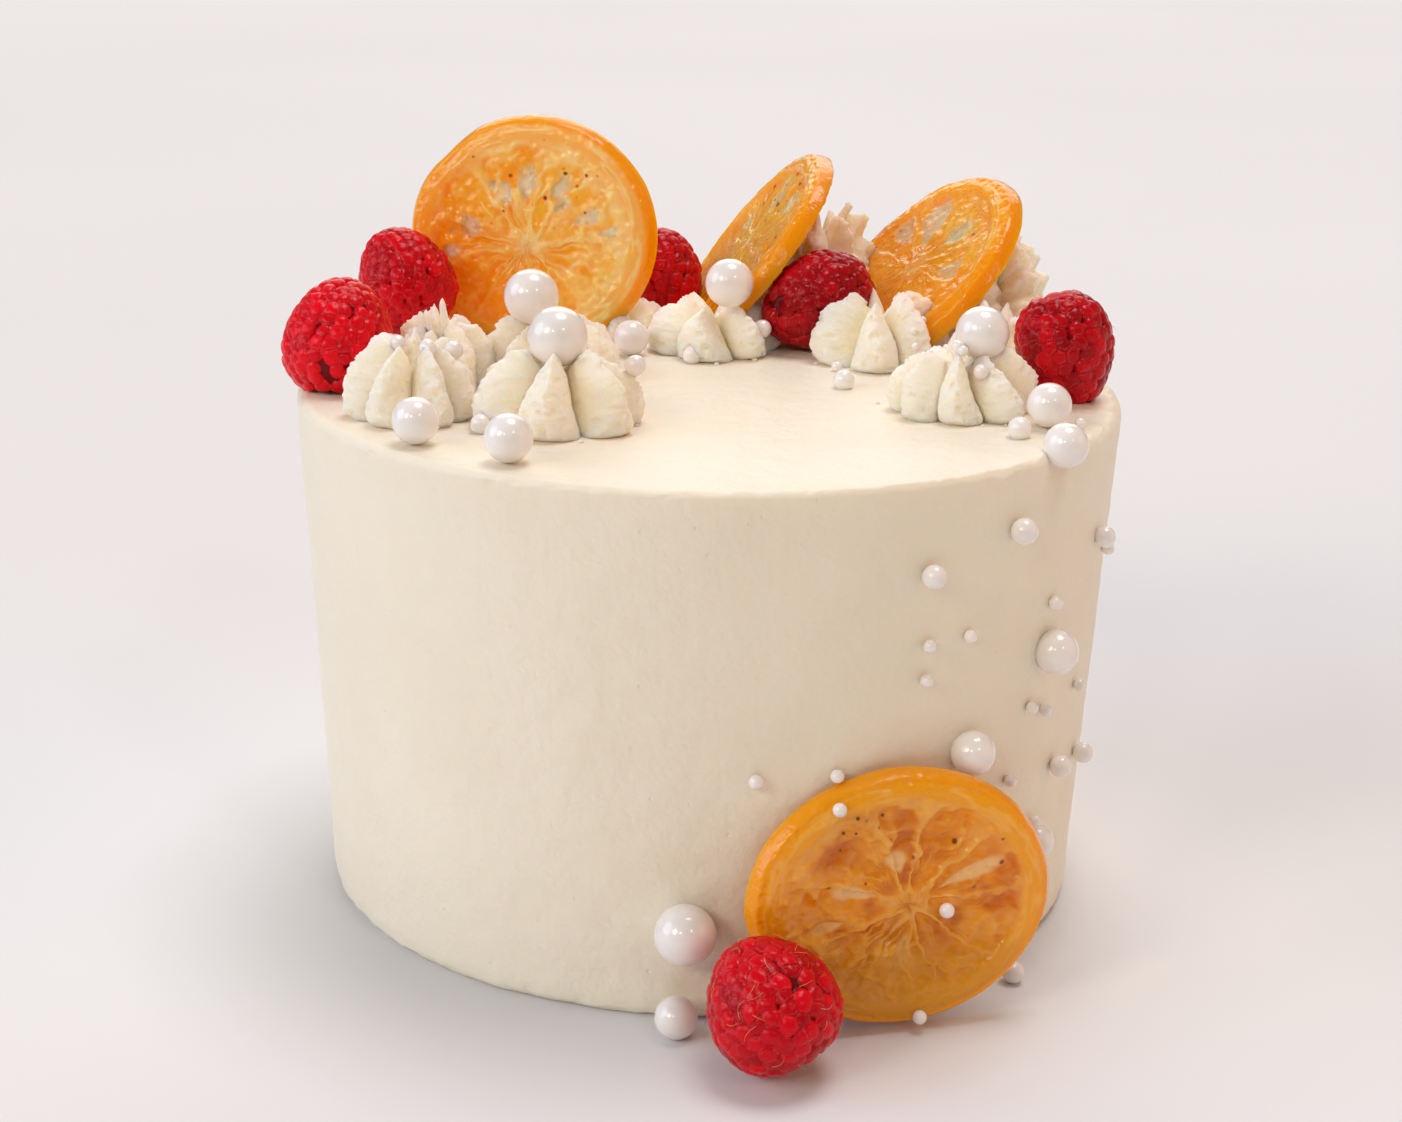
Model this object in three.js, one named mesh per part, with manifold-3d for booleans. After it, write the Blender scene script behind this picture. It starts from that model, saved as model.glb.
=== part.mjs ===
// A round frosted lemon cake dressed with piped cream swirls, raspberries, candied citrus
// slices and sugar pearls. Millimetres, +Z up. The origin is the middle of the underside,
// and the dressed front looks along -Y.
import * as THREE from 'three';
import { mergeVertices } from 'three/addons/utils/BufferGeometryUtils.js';
import Module from 'manifold-3d';

const wasm = await Module();
wasm.setup();

// Driving dimensions of the cake
const TOP_R = 85;
const FOOT_R = 79.5;
const CAKE_H = 106;
const RIM_ROUND = 3;
const FOOT_ROUND = 2.5;
const CAKE_SIDES = 54;
const ARC_STEPS = 2;

// Clearance between pieces that touch, and the grid of the grown copies that cut it
const GAP = 0.3;
const CUTTER_COLUMNS = 12;
const CUTTER_ROWS = 7;
const MERGE_DISTANCE = 1e-5;

// Sugar pearls: columns and rows of a large, a small and a tiny one, and of a fused one's cutter
const LARGE_GRID = [9, 6];
const SMALL_GRID = [8, 5];
const TINY_GRID = [5, 4];
const BEAD_CUTTER_GRID = [6, 4];
const TINY_BELOW_R = 1.7;
// How deep a fused pearl sits in what carries it, as a share of its diameter
const SMALL_SINK = 0.35;

// Raspberry: rows and columns of drupelets, and how far they stand out
const BERRY_COLUMNS = 20;
const BERRY_ROWS = 12;
const BERRY_BUMP = 0.65;
const BERRY_TAPER = 0.16;
const BERRY_MOUTH_DEG = -58;
const BERRY_TIP_DEG = 80;
const BERRY_MOUTH_DEPTH = 3;

// Candied slice: rind, recessed pulp and the membranes that stand out of it
const SLICE_T = 4.4;
const SLICE_SEGMENTS = 8;
const SLICE_STEPS = 4;
const SLICE_FLARE = 1.6;
const RIND_SHARE = 0.88;
const PULP_SHARE = 0.82;
const PULP_RECESS = 0.7;
const MEMBRANE_RISE = 0.45;

// Piped swirl, from the foot to the crown. Radius and height are shares of the swirl's own, and
// valley is how deep the gap between two vanes goes. A gap's floor starts at VALLEY_FROM of the
// way from one vane to the next, and above SHOULDER it also drops.
const SWIRL_ROWS = [
  { radius: 0.88, height: 0.0, valley: 0.3 },
  { radius: 1.0, height: 0.2, valley: 0.36 },
  { radius: 0.97, height: 0.43, valley: 0.42 },
  { radius: 0.82, height: 0.67, valley: 0.47 },
  { radius: 0.57, height: 0.87, valley: 0.5 },
  { radius: 0.34, height: 1.0, valley: 0.5 },
  { radius: 0.14, height: 0.78, valley: 0.2 },
];
const VALLEY_FROM = 0.38;
const CROWN_HEIGHT = 0.74;
const VALLEY_DROP = 0.16;
const SHOULDER = 0.5;

const CREAM = { color: 0xf6ead6, roughness: 0.62, metalness: 0 };
const FROSTING = { color: 0xf7ead9, roughness: 0.58, metalness: 0 };
const BERRY_RED = { color: 0xb3101d, roughness: 0.28, metalness: 0 };
const CANDIED = { color: 0xf0961c, roughness: 0.18, metalness: 0 };
const PEARL_WHITE = { color: 0xf1ebe8, roughness: 0.25, metalness: 0 };

// Swirls: middle of the foot, radius, height, and the heading of each vane in degrees
const SWIRLS = [
  { name: 'swirl_front_left', x: -57.7, y: -33, r: 13.2, h: 15,
    vanes: [-172, -108, -58, -10, 40, 90, 140] },
  { name: 'swirl_left_back', x: -54.8, y: -8, r: 10.5, h: 16,
    vanes: [-150, -100, -50, 10, 60, 120, 170] },
  { name: 'swirl_front', x: -28.8, y: -36, r: 16.6, h: 14.5,
    vanes: [-160, -92, -40, 0, 45, 90, 150] },
  { name: 'swirl_behind_front', x: -33, y: -2.5, r: 15.5, h: 14.5,
    vanes: [-172, -125, -70, -15, 35, 90, 140] },
  { name: 'swirl_middle', x: 0.8, y: 29.6, r: 13.9, h: 10.5,
    vanes: [-170, -92, -40, 10, 65, 125] },
  { name: 'swirl_right_middle', x: 35.8, y: 21.4, r: 13.6, h: 14.5,
    vanes: [-160, -98, -42, 0, 50, 100, 150] },
  { name: 'swirl_front_right', x: 49.3, y: -21.2, r: 15.2, h: 13.5,
    vanes: [-178, -140, -88, -40, 2, 60, 120] },
  { name: 'swirl_right', x: 60.5, y: 11.5, r: 11, h: 14,
    vanes: [-165, -110, -60, 0, 60, 120] },
  { name: 'swirl_back_middle', x: 22, y: 58, r: 14, h: 25,
    vanes: [-150, -100, -40, 10, 60, 120, 170] },
  { name: 'swirl_back_right', x: 61, y: 42.5, r: 12.3, h: 23.5,
    vanes: [-160, -110, -50, 0, 50, 110, 160] },
  { name: 'swirl_back_left', x: -19, y: 42.5, r: 9, h: 9,
    vanes: [-160, -100, -40, 20, 80, 140] },
];

// Raspberries: middle, widest radius, length, and the direction from the open end to the tip
const BERRIES = [
  { name: 'raspberry_left_rim', at: [-75, -10, 115.6], r: 11.8, l: 24.8, tip: [0.1, 0.4, 0.9] },
  { name: 'raspberry_left_back', at: [-66.6, 35, 118.6], r: 10.6, l: 24, tip: [-0.4, 0.15, 0.9] },
  { name: 'raspberry_back', at: [-12, 60, 116.8], r: 10.3, l: 21.4, tip: [0.12, 0.1, 0.98] },
  { name: 'raspberry_middle', at: [23.2, 31, 117.2], r: 10.4, l: 26, tip: [-0.85, -0.3, -0.32] },
  { name: 'raspberry_right_rim', at: [72, -9.5, 116.2], r: 10.4, l: 23.4, tip: [0.26, -0.12, -0.95] },
  { name: 'raspberry_foot', at: [13.2, -98.5, 13.85], r: 12.4, l: 25.5, tip: [-0.5, 0.25, 0.83] },
];

// Candied slices: middle, heading and lift of the shown face in degrees, and the two radii
const SLICES = [
  { name: 'citrus_back_left', at: [-39.6, 42, 127.6], heading: -103, lift: 9, wide: 26.4, high: 25.2 },
  { name: 'citrus_middle', at: [9, 53, 123.2], heading: -172, lift: 37.5, wide: 26, high: 26 },
  { name: 'citrus_right', at: [45.5, 40, 121.1], heading: -159, lift: 43.5, wide: 26.8, high: 26.8 },
  { name: 'citrus_foot', at: [37.6, -78.8, 26.15], heading: -75, lift: 3.8, wide: 29.2, high: 24.4 },
];

// Large sugar pearls that lie on the cake's top: middle in plan, and radius
const TOP_PEARLS = [
  { name: 'pearl_top_1', x: -54.7, y: -55, r: 4.5 },
  { name: 'pearl_top_2', x: -36.5, y: -66.6, r: 4.6 },
  { name: 'pearl_top_3', x: -16.9, y: 21.5, r: 3.8 },
  { name: 'pearl_top_4', x: 66, y: -33.7, r: 4.4 },
];

// Large sugar pearls pressed into swirls, into the rim or the side, or standing at the foot
const SET_PEARLS = [
  { name: 'pearl_swirl_1', at: [-29.3, -37, 122.9], r: 5.85 },
  { name: 'pearl_swirl_2', at: [-36.5, -5, 123.9], r: 5.65 },
  { name: 'pearl_swirl_3', at: [3.9, 21.5, 122], r: 5.2 },
  { name: 'pearl_swirl_4', at: [53.6, -21.5, 121.7], r: 5.35 },
  { name: 'pearl_rim', at: [67.2, -49.5, 106.5], r: 4.4 },
  { name: 'pearl_side_1', at: [67.8, -51.5, 65.9], r: 4.4 },
  { name: 'pearl_side_2', at: [51, -67.1, 50.9], r: 4.35 },
  { name: 'pearl_side_3', at: [-2.7, -83.5, 19.9], r: 5.95 },
  { name: 'pearl_side_4', at: [66.9, -46.2, 23.9], r: 3.5 },
  { name: 'pearl_foot', at: [-4.1, -86, 4.15], r: 4.15 },
];

// A smaller pearl that stands by itself behind the slice at the foot
const FOOT_PEARL = { name: 'pearl_foot_right', at: [61.9, -60.7, 2.2], r: 2.2 };

// Small pearls fused to the cake's top: plan position and radius
const SMALL_TOP = [
  [59.5, -41.8, 2.4], [-43.4, -45.3, 2.1], [27.5, -4.6, 2.25], [-3.7, 15.9, 2.15],
  [-9.9, 23.5, 1.5], [26.8, 10.2, 1.2], [72.2, -33.6, 1.2],
];
// Small pearls fused to the cake's side: heading in degrees, height and radius
const SMALL_SIDE = [
  [-46.9, 93.5, 2.6], [-22.8, 83.7, 2.15], [-61.1, 88.2, 2.35], [-20, 36, 2.15], [-30.7, 38.6, 2.25],
  [-17.5, 79, 1.35], [-37.3, 75.7, 1.4], [-54.2, 74.6, 1.3], [-60.6, 74.3, 1.3], [-60.7, 67.4, 1.3],
  [-25.4, 53.4, 1.3], [-40.3, 55.3, 1.3], [-36.7, 53.2, 1.25], [-43.7, 41.2, 1.3], [-83.2, 50.5, 1.45],
  [-72.6, 50.6, 1.35], [-36.1, 29, 1.25],
];
// Small pearls fused to a swirl where it lies below them: plan position and radius
const SMALL_ON_SWIRL = {
  swirl_front_left: [[-54.6, -35, 1.7], [-60.3, -33.5, 1.6]],
  swirl_front: [[-15.8, -36, 2.1]],
  swirl_middle: [[9.8, 22.8, 2]],
  swirl_front_right: [[53.8, -26.2, 1.4], [49.4, -23.3, 1.3]],
};
// Small pearls fused to a slice's shown face: place across and up the face, and radius
const SMALL_ON_SLICE = {
  citrus_foot: [[-13.2, 19.5, 1.4], [8.1, -2.2, 1.5]],
};

const rad = (degrees) => (degrees * Math.PI) / 180;
const across = (n) => Array.from({ length: n }, (_, i) => i / n);

// Closes rows of points round the Z axis into one skin, with a point at each end. Where bumps
// alternate like a chessboard, each square is split along its low corners.
function skin(rows, start, end, bumps = false) {
  const columns = rows[0].length;
  const flat = [...start, ...rows.flat(2), ...end];
  const at = (row, column) => 1 + row * columns + (column % columns);
  const last = 1 + rows.length * columns;
  const faces = [];
  for (let j = 0; j < columns; j++) {
    faces.push(0, at(0, j + 1), at(0, j));
    faces.push(last, at(rows.length - 1, j), at(rows.length - 1, j + 1));
    for (let i = 0; i + 1 < rows.length; i++) {
      const [a, b, c, d] = [at(i, j), at(i, j + 1), at(i + 1, j + 1), at(i + 1, j)];
      faces.push(...(bumps && (i + j) % 2 === 0 ? [a, b, d, b, c, d] : [a, b, c, a, c, d]));
    }
  }
  const geometry = new THREE.BufferGeometry();
  geometry.setAttribute('position', new THREE.Float32BufferAttribute(flat, 3));
  geometry.setIndex(faces);
  return geometry;
}

// A geometry with only shared positions, as the joining library needs it.
function bare(geometry) {
  const copy = geometry.clone();
  copy.deleteAttribute('normal');
  copy.deleteAttribute('uv');
  return mergeVertices(copy, MERGE_DISTANCE);
}

function toSolid(geometry) {
  const shared = bare(geometry);
  const vertProperties = new Float32Array(shared.attributes.position.array);
  const triVerts = new Uint32Array(shared.index.array);
  return new wasm.Manifold(new wasm.Mesh({ numProp: 3, vertProperties, triVerts }));
}

function fromSolid(solid) {
  const mesh = solid.getMesh();
  const geometry = new THREE.BufferGeometry();
  geometry.setAttribute('position', new THREE.BufferAttribute(new Float32Array(mesh.vertProperties), 3));
  geometry.setIndex(new THREE.BufferAttribute(new Uint32Array(mesh.triVerts), 1));
  return geometry;
}

// The cake: a slightly tapered drum with a rounded rim and foot.
function cakeGeometry() {
  const lean = Math.atan2(TOP_R - FOOT_R, CAKE_H);
  const profile = [new THREE.Vector2(0, 0)];
  for (let i = 0; i <= ARC_STEPS; i++) {
    const a = -Math.PI / 2 + (i / ARC_STEPS) * (Math.PI / 2 - lean);
    const x = FOOT_R - FOOT_ROUND + FOOT_ROUND * Math.cos(a);
    profile.push(new THREE.Vector2(x, FOOT_ROUND + FOOT_ROUND * Math.sin(a)));
  }
  for (let i = 0; i <= ARC_STEPS; i++) {
    const a = -lean + (i / ARC_STEPS) * (Math.PI / 2 + lean);
    const x = TOP_R - RIM_ROUND + RIM_ROUND * Math.cos(a);
    profile.push(new THREE.Vector2(x, CAKE_H - RIM_ROUND + RIM_ROUND * Math.sin(a)));
  }
  profile.push(new THREE.Vector2(0, CAKE_H));
  return new THREE.LatheGeometry(profile, CAKE_SIDES).rotateX(Math.PI / 2);
}

// A piped star drop: thin vanes that swell above the foot and lean in to a dented crown.
function swirlGeometry({ r, h, vanes }, grow) {
  const headings = vanes.map((deg, i) => {
    const next = i + 1 < vanes.length ? vanes[i + 1] : vanes[0] + 360;
    return [0, VALLEY_FROM, 1 - VALLEY_FROM].map((t) => ({ a: rad(deg + (next - deg) * t), t }));
  }).flat();
  const rows = SWIRL_ROWS.map((row) =>
    headings.map(({ a, t }) => {
      const dip = t === 0 ? 0 : row.valley;
      const radius = r * row.radius * (1 - dip) + grow;
      const drop = row.height > SHOULDER ? VALLEY_DROP * dip : 0;
      const z = (h * (1 - drop) + grow) * row.height;
      return [radius * Math.cos(a), radius * Math.sin(a), z];
    }));
  return skin(rows, [0, 0, 0], [0, 0, h * CROWN_HEIGHT + grow]);
}

// A raspberry along +Z: rows of drupelets set like bricks round an egg with a dented open end.
function berryGeometry({ r, l }, grow) {
  const [rowCount, columns] = grow > 0 ? [CUTTER_ROWS, CUTTER_COLUMNS] : [BERRY_ROWS, BERRY_COLUMNS];
  const rows = Array.from({ length: rowCount }, (_, i) => {
    const a = rad(BERRY_MOUTH_DEG + ((BERRY_TIP_DEG - BERRY_MOUTH_DEG) * i) / (rowCount - 1));
    return across(columns).map((share, j) => {
      const bump = grow > 0 ? BERRY_BUMP + 2 * grow : ((i + j) % 2 ? -BERRY_BUMP : BERRY_BUMP);
      const radius = (r + bump) * Math.cos(a) * (1 - BERRY_TAPER * Math.sin(a));
      const turn = 2 * Math.PI * share;
      return [radius * Math.cos(turn), radius * Math.sin(turn), (l / 2 + bump) * Math.sin(a)];
    });
  });
  const mouth = (l / 2) * Math.sin(rad(BERRY_MOUTH_DEG)) + (grow > 0 ? -grow : BERRY_MOUTH_DEPTH);
  return skin(rows, [0, 0, mouth], [0, 0, l / 2 + grow], grow === 0);
}

// A candied slice facing +Z: a slanted rind round recessed pulp crossed by membranes.
function sliceGeometry({ wide, high }, grow) {
  const half = SLICE_T / 2 + grow;
  const columns = SLICE_SEGMENTS * SLICE_STEPS;
  const ring = (share, extra, z, rise) => across(columns).map((part, j) => {
    const turn = 2 * Math.PI * part;
    const lift = j % SLICE_STEPS === 0 ? rise : 0;
    const x = (wide * share + extra) * Math.cos(turn);
    return [x, (high * share + extra) * Math.sin(turn), z + lift];
  });
  if (grow > 0) {
    const rim = [ring(1, SLICE_FLARE + grow, -half, 0), ring(1, SLICE_FLARE + grow, half, 0)];
    return skin(rim, [0, 0, -half], [0, 0, half]);
  }
  const rows = [
    ring(PULP_SHARE, 0, -half + PULP_RECESS, 0),
    ring(RIND_SHARE, 0, -half, 0),
    ring(1, SLICE_FLARE, -half + PULP_RECESS, 0),
    ring(1, 0, half - PULP_RECESS / 2, 0),
    ring(RIND_SHARE, 0, half, 0),
    ring(PULP_SHARE, 0, half - PULP_RECESS, MEMBRANE_RISE),
    ring(PULP_SHARE / 3, 0, half - PULP_RECESS, MEMBRANE_RISE),
  ];
  return skin(rows, [0, 0, -half + PULP_RECESS], [0, 0, half - PULP_RECESS / 2]);
}

// Places: a turn and a move for each kind of piece
function placed(x, y, z) {
  return new THREE.Matrix4().makeTranslation(x, y, z);
}

function placedAlong([x, y, z], tip) {
  const direction = new THREE.Vector3(...tip).normalize();
  const turn = new THREE.Quaternion().setFromUnitVectors(new THREE.Vector3(0, 0, 1), direction);
  return new THREE.Matrix4().makeRotationFromQuaternion(turn).setPosition(x, y, z);
}

function placedFacing([x, y, z], heading, lift) {
  const [a, e] = [rad(heading), rad(lift)];
  const out = new THREE.Vector3(Math.cos(e) * Math.cos(a), Math.cos(e) * Math.sin(a), Math.sin(e));
  const side = new THREE.Vector3(0, 0, 1).cross(out).normalize();
  const up = out.clone().cross(side);
  return new THREE.Matrix4().makeBasis(side, up, out).setPosition(x, y, z);
}

// A piece is its geometry in its own frame, its place, and a grown copy that cuts its neighbours.
function piece(name, finish, geometry, grown, place) {
  return { name, finish, geometry, grown, place };
}

function smallPearl([x, y, z, r]) {
  const grid = r < TINY_BELOW_R ? TINY_GRID : SMALL_GRID;
  return new THREE.SphereGeometry(r, ...grid).rotateX(Math.PI / 2).applyMatrix4(placed(x, y, z));
}

// The largest body of a cut piece: what a slice cuts off behind it falls away.
function largest(solid) {
  const bodies = solid.decompose();
  return bodies.reduce((a, b) => (b.volume() > a.volume() ? b : a));
}

// Height of a piece's skin straight below a point of the plan.
function skinHeight(item, x, y) {
  const mesh = new THREE.Mesh(item.geometry, new THREE.MeshBasicMaterial());
  mesh.applyMatrix4(item.place);
  mesh.updateMatrixWorld();
  const above = new THREE.Vector3(x, y, 2 * CAKE_H);
  const hits = new THREE.Raycaster(above, new THREE.Vector3(0, 0, -1)).intersectObject(mesh);
  if (!hits.length) throw new Error(`no ${item.name} below ${x}, ${y}`);
  return hits[0].point.z;
}

// The small pearls of a piece, each as its middle in the piece's own frame and its radius.
function pearlsOn(item, home) {
  const sunk = 1 - 2 * SMALL_SINK;
  const dropped = (SMALL_ON_SWIRL[item.name] ?? []).map(([x, y, r]) => {
    const middle = new THREE.Vector3(x, y, skinHeight(item, x, y) + r * sunk).applyMatrix4(home);
    return [...middle.toArray(), r];
  });
  const faced = (SMALL_ON_SLICE[item.name] ?? []).map(([x, y, r]) => [x, y, SLICE_T / 2 + r * sunk, r]);
  return [...dropped, ...faced];
}

// Joins its small pearls to a piece and cuts the neighbours out of it, in the piece's own frame.
function fitted(item, neighbours, fused) {
  const home = item.place.clone().invert();
  let solid = toSolid(item.geometry);
  for (const pearl of [...fused, ...pearlsOn(item, home)]) {
    solid = solid.add(toSolid(smallPearl(pearl)));
  }
  for (const other of neighbours) {
    solid = solid.subtract(toSolid(other.grown.clone().applyMatrix4(other.place).applyMatrix4(home)));
  }
  return fromSolid(largest(solid));
}

const near = (a, b) => {
  const box = (p) => new THREE.Box3().setFromBufferAttribute(
    p.grown.clone().applyMatrix4(p.place).attributes.position);
  return box(a).intersectsBox(box(b));
};

const slices = SLICES.map((s) => piece(
  s.name, CANDIED, sliceGeometry(s, 0), sliceGeometry(s, GAP), placedFacing(s.at, s.heading, s.lift)));
const berries = BERRIES.map((b) => piece(
  b.name, BERRY_RED, berryGeometry(b, 0), berryGeometry(b, GAP), placedAlong(b.at, b.tip)));
const pearlAt = (name, [x, y, z], r, grid) => piece(
  name, PEARL_WHITE, new THREE.SphereGeometry(r, ...grid), new THREE.SphereGeometry(r + GAP, ...grid),
  placed(x, y, z));
const pearls = [
  ...TOP_PEARLS.map((p) => pearlAt(p.name, [p.x, p.y, CAKE_H + p.r + GAP / 2], p.r, LARGE_GRID)),
  ...SET_PEARLS.map((p) => pearlAt(p.name, p.at, p.r, LARGE_GRID)),
  pearlAt(FOOT_PEARL.name, FOOT_PEARL.at, FOOT_PEARL.r, SMALL_GRID),
];
const swirls = SWIRLS.map((s) => piece(
  s.name, CREAM, swirlGeometry(s, 0), swirlGeometry(s, GAP), placed(s.x, s.y, CAKE_H + GAP)));
const cake = piece('cake', FROSTING, cakeGeometry(), cakeGeometry(), placed(0, 0, 0));

const sideAt = (z) => FOOT_R + ((TOP_R - FOOT_R) * z) / CAKE_H;
const cakePearls = [
  ...SMALL_TOP.map(([x, y, r]) => [x, y, CAKE_H + r * (1 - 2 * SMALL_SINK), r]),
  ...SMALL_SIDE.map(([heading, z, r]) => {
    const out = sideAt(z) + r * (1 - 2 * SMALL_SINK);
    return [out * Math.cos(rad(heading)), out * Math.sin(rad(heading)), z, r];
  }),
];

// Hard toppings keep their shape, and the soft pieces make room for them.
const meshes = [];
function add(item, geometry) {
  const mesh = new THREE.Mesh(geometry, new THREE.MeshStandardMaterial(item.finish));
  mesh.name = item.name;
  item.place.decompose(mesh.position, mesh.quaternion, mesh.scale);
  meshes.push(mesh);
}
for (const item of slices) add(item, fitted(item, [], []));
for (const item of [...berries, ...pearls]) {
  add(item, fitted(item, slices.filter((s) => near(s, item)), []));
}
const hard = [...slices, ...berries, ...pearls];
const beads = cakePearls.map(([x, y, z, r]) => pearlAt('bead', [x, y, z], r, BEAD_CUTTER_GRID));
swirls.forEach((item, i) => {
  const neighbours = [...hard, ...beads, ...swirls.slice(0, i)].filter((n) => near(n, item));
  add(item, fitted(item, neighbours, []));
});
add(cake, fitted(cake, hard.filter((n) => near(n, cake)), cakePearls));

const group = new THREE.Group();
group.add(...meshes);

export default group;
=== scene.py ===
"""A frosted lemon cake with piped cream, raspberries, candied citrus slices and sugar pearls.

Sizes in this file are in millimetres and become metres where a mesh is made. +Z is up, the origin
is the middle of the cake's underside, and the dressed front looks along -Y.
"""
import itertools
import math

import bpy
import numpy as np
from mathutils import Matrix, Vector


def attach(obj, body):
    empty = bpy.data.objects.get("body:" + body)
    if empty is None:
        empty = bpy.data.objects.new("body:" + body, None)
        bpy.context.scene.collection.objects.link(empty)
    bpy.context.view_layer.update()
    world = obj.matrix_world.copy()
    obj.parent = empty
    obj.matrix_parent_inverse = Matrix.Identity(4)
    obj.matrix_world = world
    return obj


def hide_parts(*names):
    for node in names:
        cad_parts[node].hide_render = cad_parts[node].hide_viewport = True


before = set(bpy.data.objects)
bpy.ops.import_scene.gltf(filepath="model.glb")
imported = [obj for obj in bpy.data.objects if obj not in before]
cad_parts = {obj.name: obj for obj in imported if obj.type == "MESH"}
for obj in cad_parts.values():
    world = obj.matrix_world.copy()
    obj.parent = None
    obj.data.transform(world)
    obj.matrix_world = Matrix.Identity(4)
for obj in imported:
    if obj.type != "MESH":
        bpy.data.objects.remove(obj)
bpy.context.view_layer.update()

MM = 0.001

# The cake's drum, how far its rim is rounded over at the back and how much less at the front, and
# how deep the rim is dented under the pearl that sits in it
TOP_R, FOOT_R, CAKE_H = 85.0, 79.5, 106.0
FOOT_ROUND, RIM_ROUND, FRONT_LESS, RIM_DENT = 2.5, 3.2, 2.0, 2.4
CAKE_COLUMNS = 556
UNDER_ROWS, FOOT_ROWS, SIDE_ROWS, RIM_ROWS, TOP_ROWS = 3, 9, 84, 26, 52

# Swirls: middle of the foot, radius, height, headings of the vanes in degrees
SWIRLS = {
    "swirl_front_left": (-57.7, -33, 13.2, 15, (-172, -108, -58, -10, 40, 90, 140)),
    "swirl_left_back": (-54.8, -8, 10.5, 14.6, (-150, -100, -50, 10, 60, 120, 170)),
    "swirl_front": (-29.1, -36, 17.1, 14.5, (-160, -92, -40, 0, 45, 90, 150)),
    "swirl_behind_front": (-33, -2.5, 15.5, 14.5, (-172, -125, -70, -15, 35, 90, 140)),
    "swirl_middle": (0.8, 29.2, 14.9, 12.4, (-170, -92, -40, 10, 65, 125)),
    "swirl_right_middle": (36.4, 21.4, 14.6, 15.2, (-160, -98, -42, 0, 50, 100, 150)),
    "swirl_front_right": (49.3, -21.2, 15.2, 13.5, (-178, -140, -88, -40, 2, 60, 120)),
    "swirl_right": (60.5, 11.5, 11, 14, (-165, -110, -60, 0, 60, 120)),
    "swirl_back_middle": (24, 58, 14, 26.5, (-150, -100, -40, 10, 60, 120, 170)),
    "swirl_back_right": (62.3, 42, 12.3, 25.5, (-160, -110, -50, 0, 50, 110, 160)),
    "swirl_back_left": (-19, 42.5, 9, 9, (-160, -100, -40, 20, 80, 140)),
}
VANE_COLUMNS = 42
SWIRL_ROWS = 88

# Raspberries: middle, direction from the open end to the tip, widest radius, length, drupelet pitch
RASPBERRIES = {
    "raspberry_left_rim": ((-75, -10, 115.4), (0.1, 0.4, 0.9), 11.3, 25.6, 2.8),
    "raspberry_left_back": ((-66.6, 35, 118.6), (-0.4, 0.15, 0.9), 10.6, 24, 2.8),
    "raspberry_back": ((-12, 60, 115.8), (0.12, 0.1, 0.98), 10.3, 21.4, 2.8),
    "raspberry_middle": ((23.2, 31, 116.4), (-0.85, -0.3, -0.32), 10.4, 26, 2.9),
    "raspberry_right_rim": ((72, -9.5, 116), (0.26, -0.12, -0.95), 9.9, 24.6, 2.95),
    "raspberry_foot": ((13.2, -98.5, 13.85), (-0.5, 0.25, 0.83), 12.4, 25.5, 3.1),
}
# Where a berry has lost a drupelet, in its own frame along +Z, and how ripe each berry's skin is
BERRY_HOLES = {"raspberry_foot": [(0.66, -0.74, 0.13)], "raspberry_middle": [(0.43, -0.17, 0.88)],
               "raspberry_left_rim": [(-0.05, -0.70, -0.71)]}
BERRY_TONES = {"raspberry_left_rim": (0.6, 1.1), "raspberry_left_back": (0.3, 0.85),
               "raspberry_back": (0.2, 0.65), "raspberry_middle": (-0.15, 0.3),
               "raspberry_right_rim": (0.0, 0.6), "raspberry_foot": (0.2, 0.8)}
BERRY_TAPER = 0.16
BERRY_COLUMNS, BERRY_ROWS, HOLLOW_ROWS = 256, 144, 14
MOUTH_DEG = -67
# How much smaller the body under the drupelets is, in radius and in length, and how far they rise
BODY_LESS_R, BODY_LESS_L, DRUPELET_RISE = 1.15, 2.2, 1.25
# Dry styles: how many and how long on a berry, and the lowest place that they reach
BERRY_STYLES = {"raspberry_foot": (46, 3.4)}
FEW_STYLES = (9, 1.8)
STYLE_LOW_Z = 0.15

# Candied slices: middle, heading and lift of the shown face in degrees, half width, half height
SLICES = {
    "citrus_back_left": ((-39.6, 42, 127.6), -103, 9, 27.3, 25.5),
    "citrus_middle": ((9, 53, 123.2), -172, 37.5, 26, 26),
    "citrus_right": ((45.5, 40, 121.1), -159, 43.5, 26.8, 26.8),
    "citrus_foot": ((37.6, -78.8, 26.15), -75, 3.8, 29.2, 24.4),
}
# Thickness, how much larger the back's radius is, how far the edge is rounded, and how far below
# the rim a small pearl rests on the flesh
SLICE_T, SLICE_FLARE, EDGE_ROUND, PEARL_BED = 4.4, 1.6, 0.6, 0.5
SLICE_COLUMNS, BACK_ROWS, WALL_ROWS, FACE_ROWS = 384, 44, 14, 128

# Sugar pearls that are pieces of their own: middle and radius
PEARLS = {
    "pearl_top_1": ((-54.7, -55, 110.5), 4.5),
    "pearl_top_2": ((-36.5, -66.6, 110.6), 4.6),
    "pearl_top_3": ((-16.9, 21.5, 109.8), 3.8),
    "pearl_top_4": ((66, -33.7, 110.4), 4.4),
    "pearl_swirl_1": ((-29.3, -37, 122.9), 5.85),
    "pearl_swirl_2": ((-36.5, -5, 123.9), 5.65),
    "pearl_swirl_3": ((3.9, 21.5, 122), 5.2),
    "pearl_swirl_4": ((53.6, -21.5, 121.7), 5.35),
    "pearl_rim": ((67.2, -51.2, 107.0), 4.4),
    "pearl_side_1": ((67.8, -51.5, 65.9), 4.4),
    "pearl_side_2": ((51, -67.1, 50.9), 4.35),
    "pearl_side_3": ((-2.7, -83.5, 19.9), 5.95),
    "pearl_side_4": ((66.9, -46.2, 23.9), 3.5),
    "pearl_foot": ((-4.1, -86, 4.15), 4.15),
    "pearl_foot_right": ((61.9, -60.7, 2.2), 2.2),
}
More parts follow.
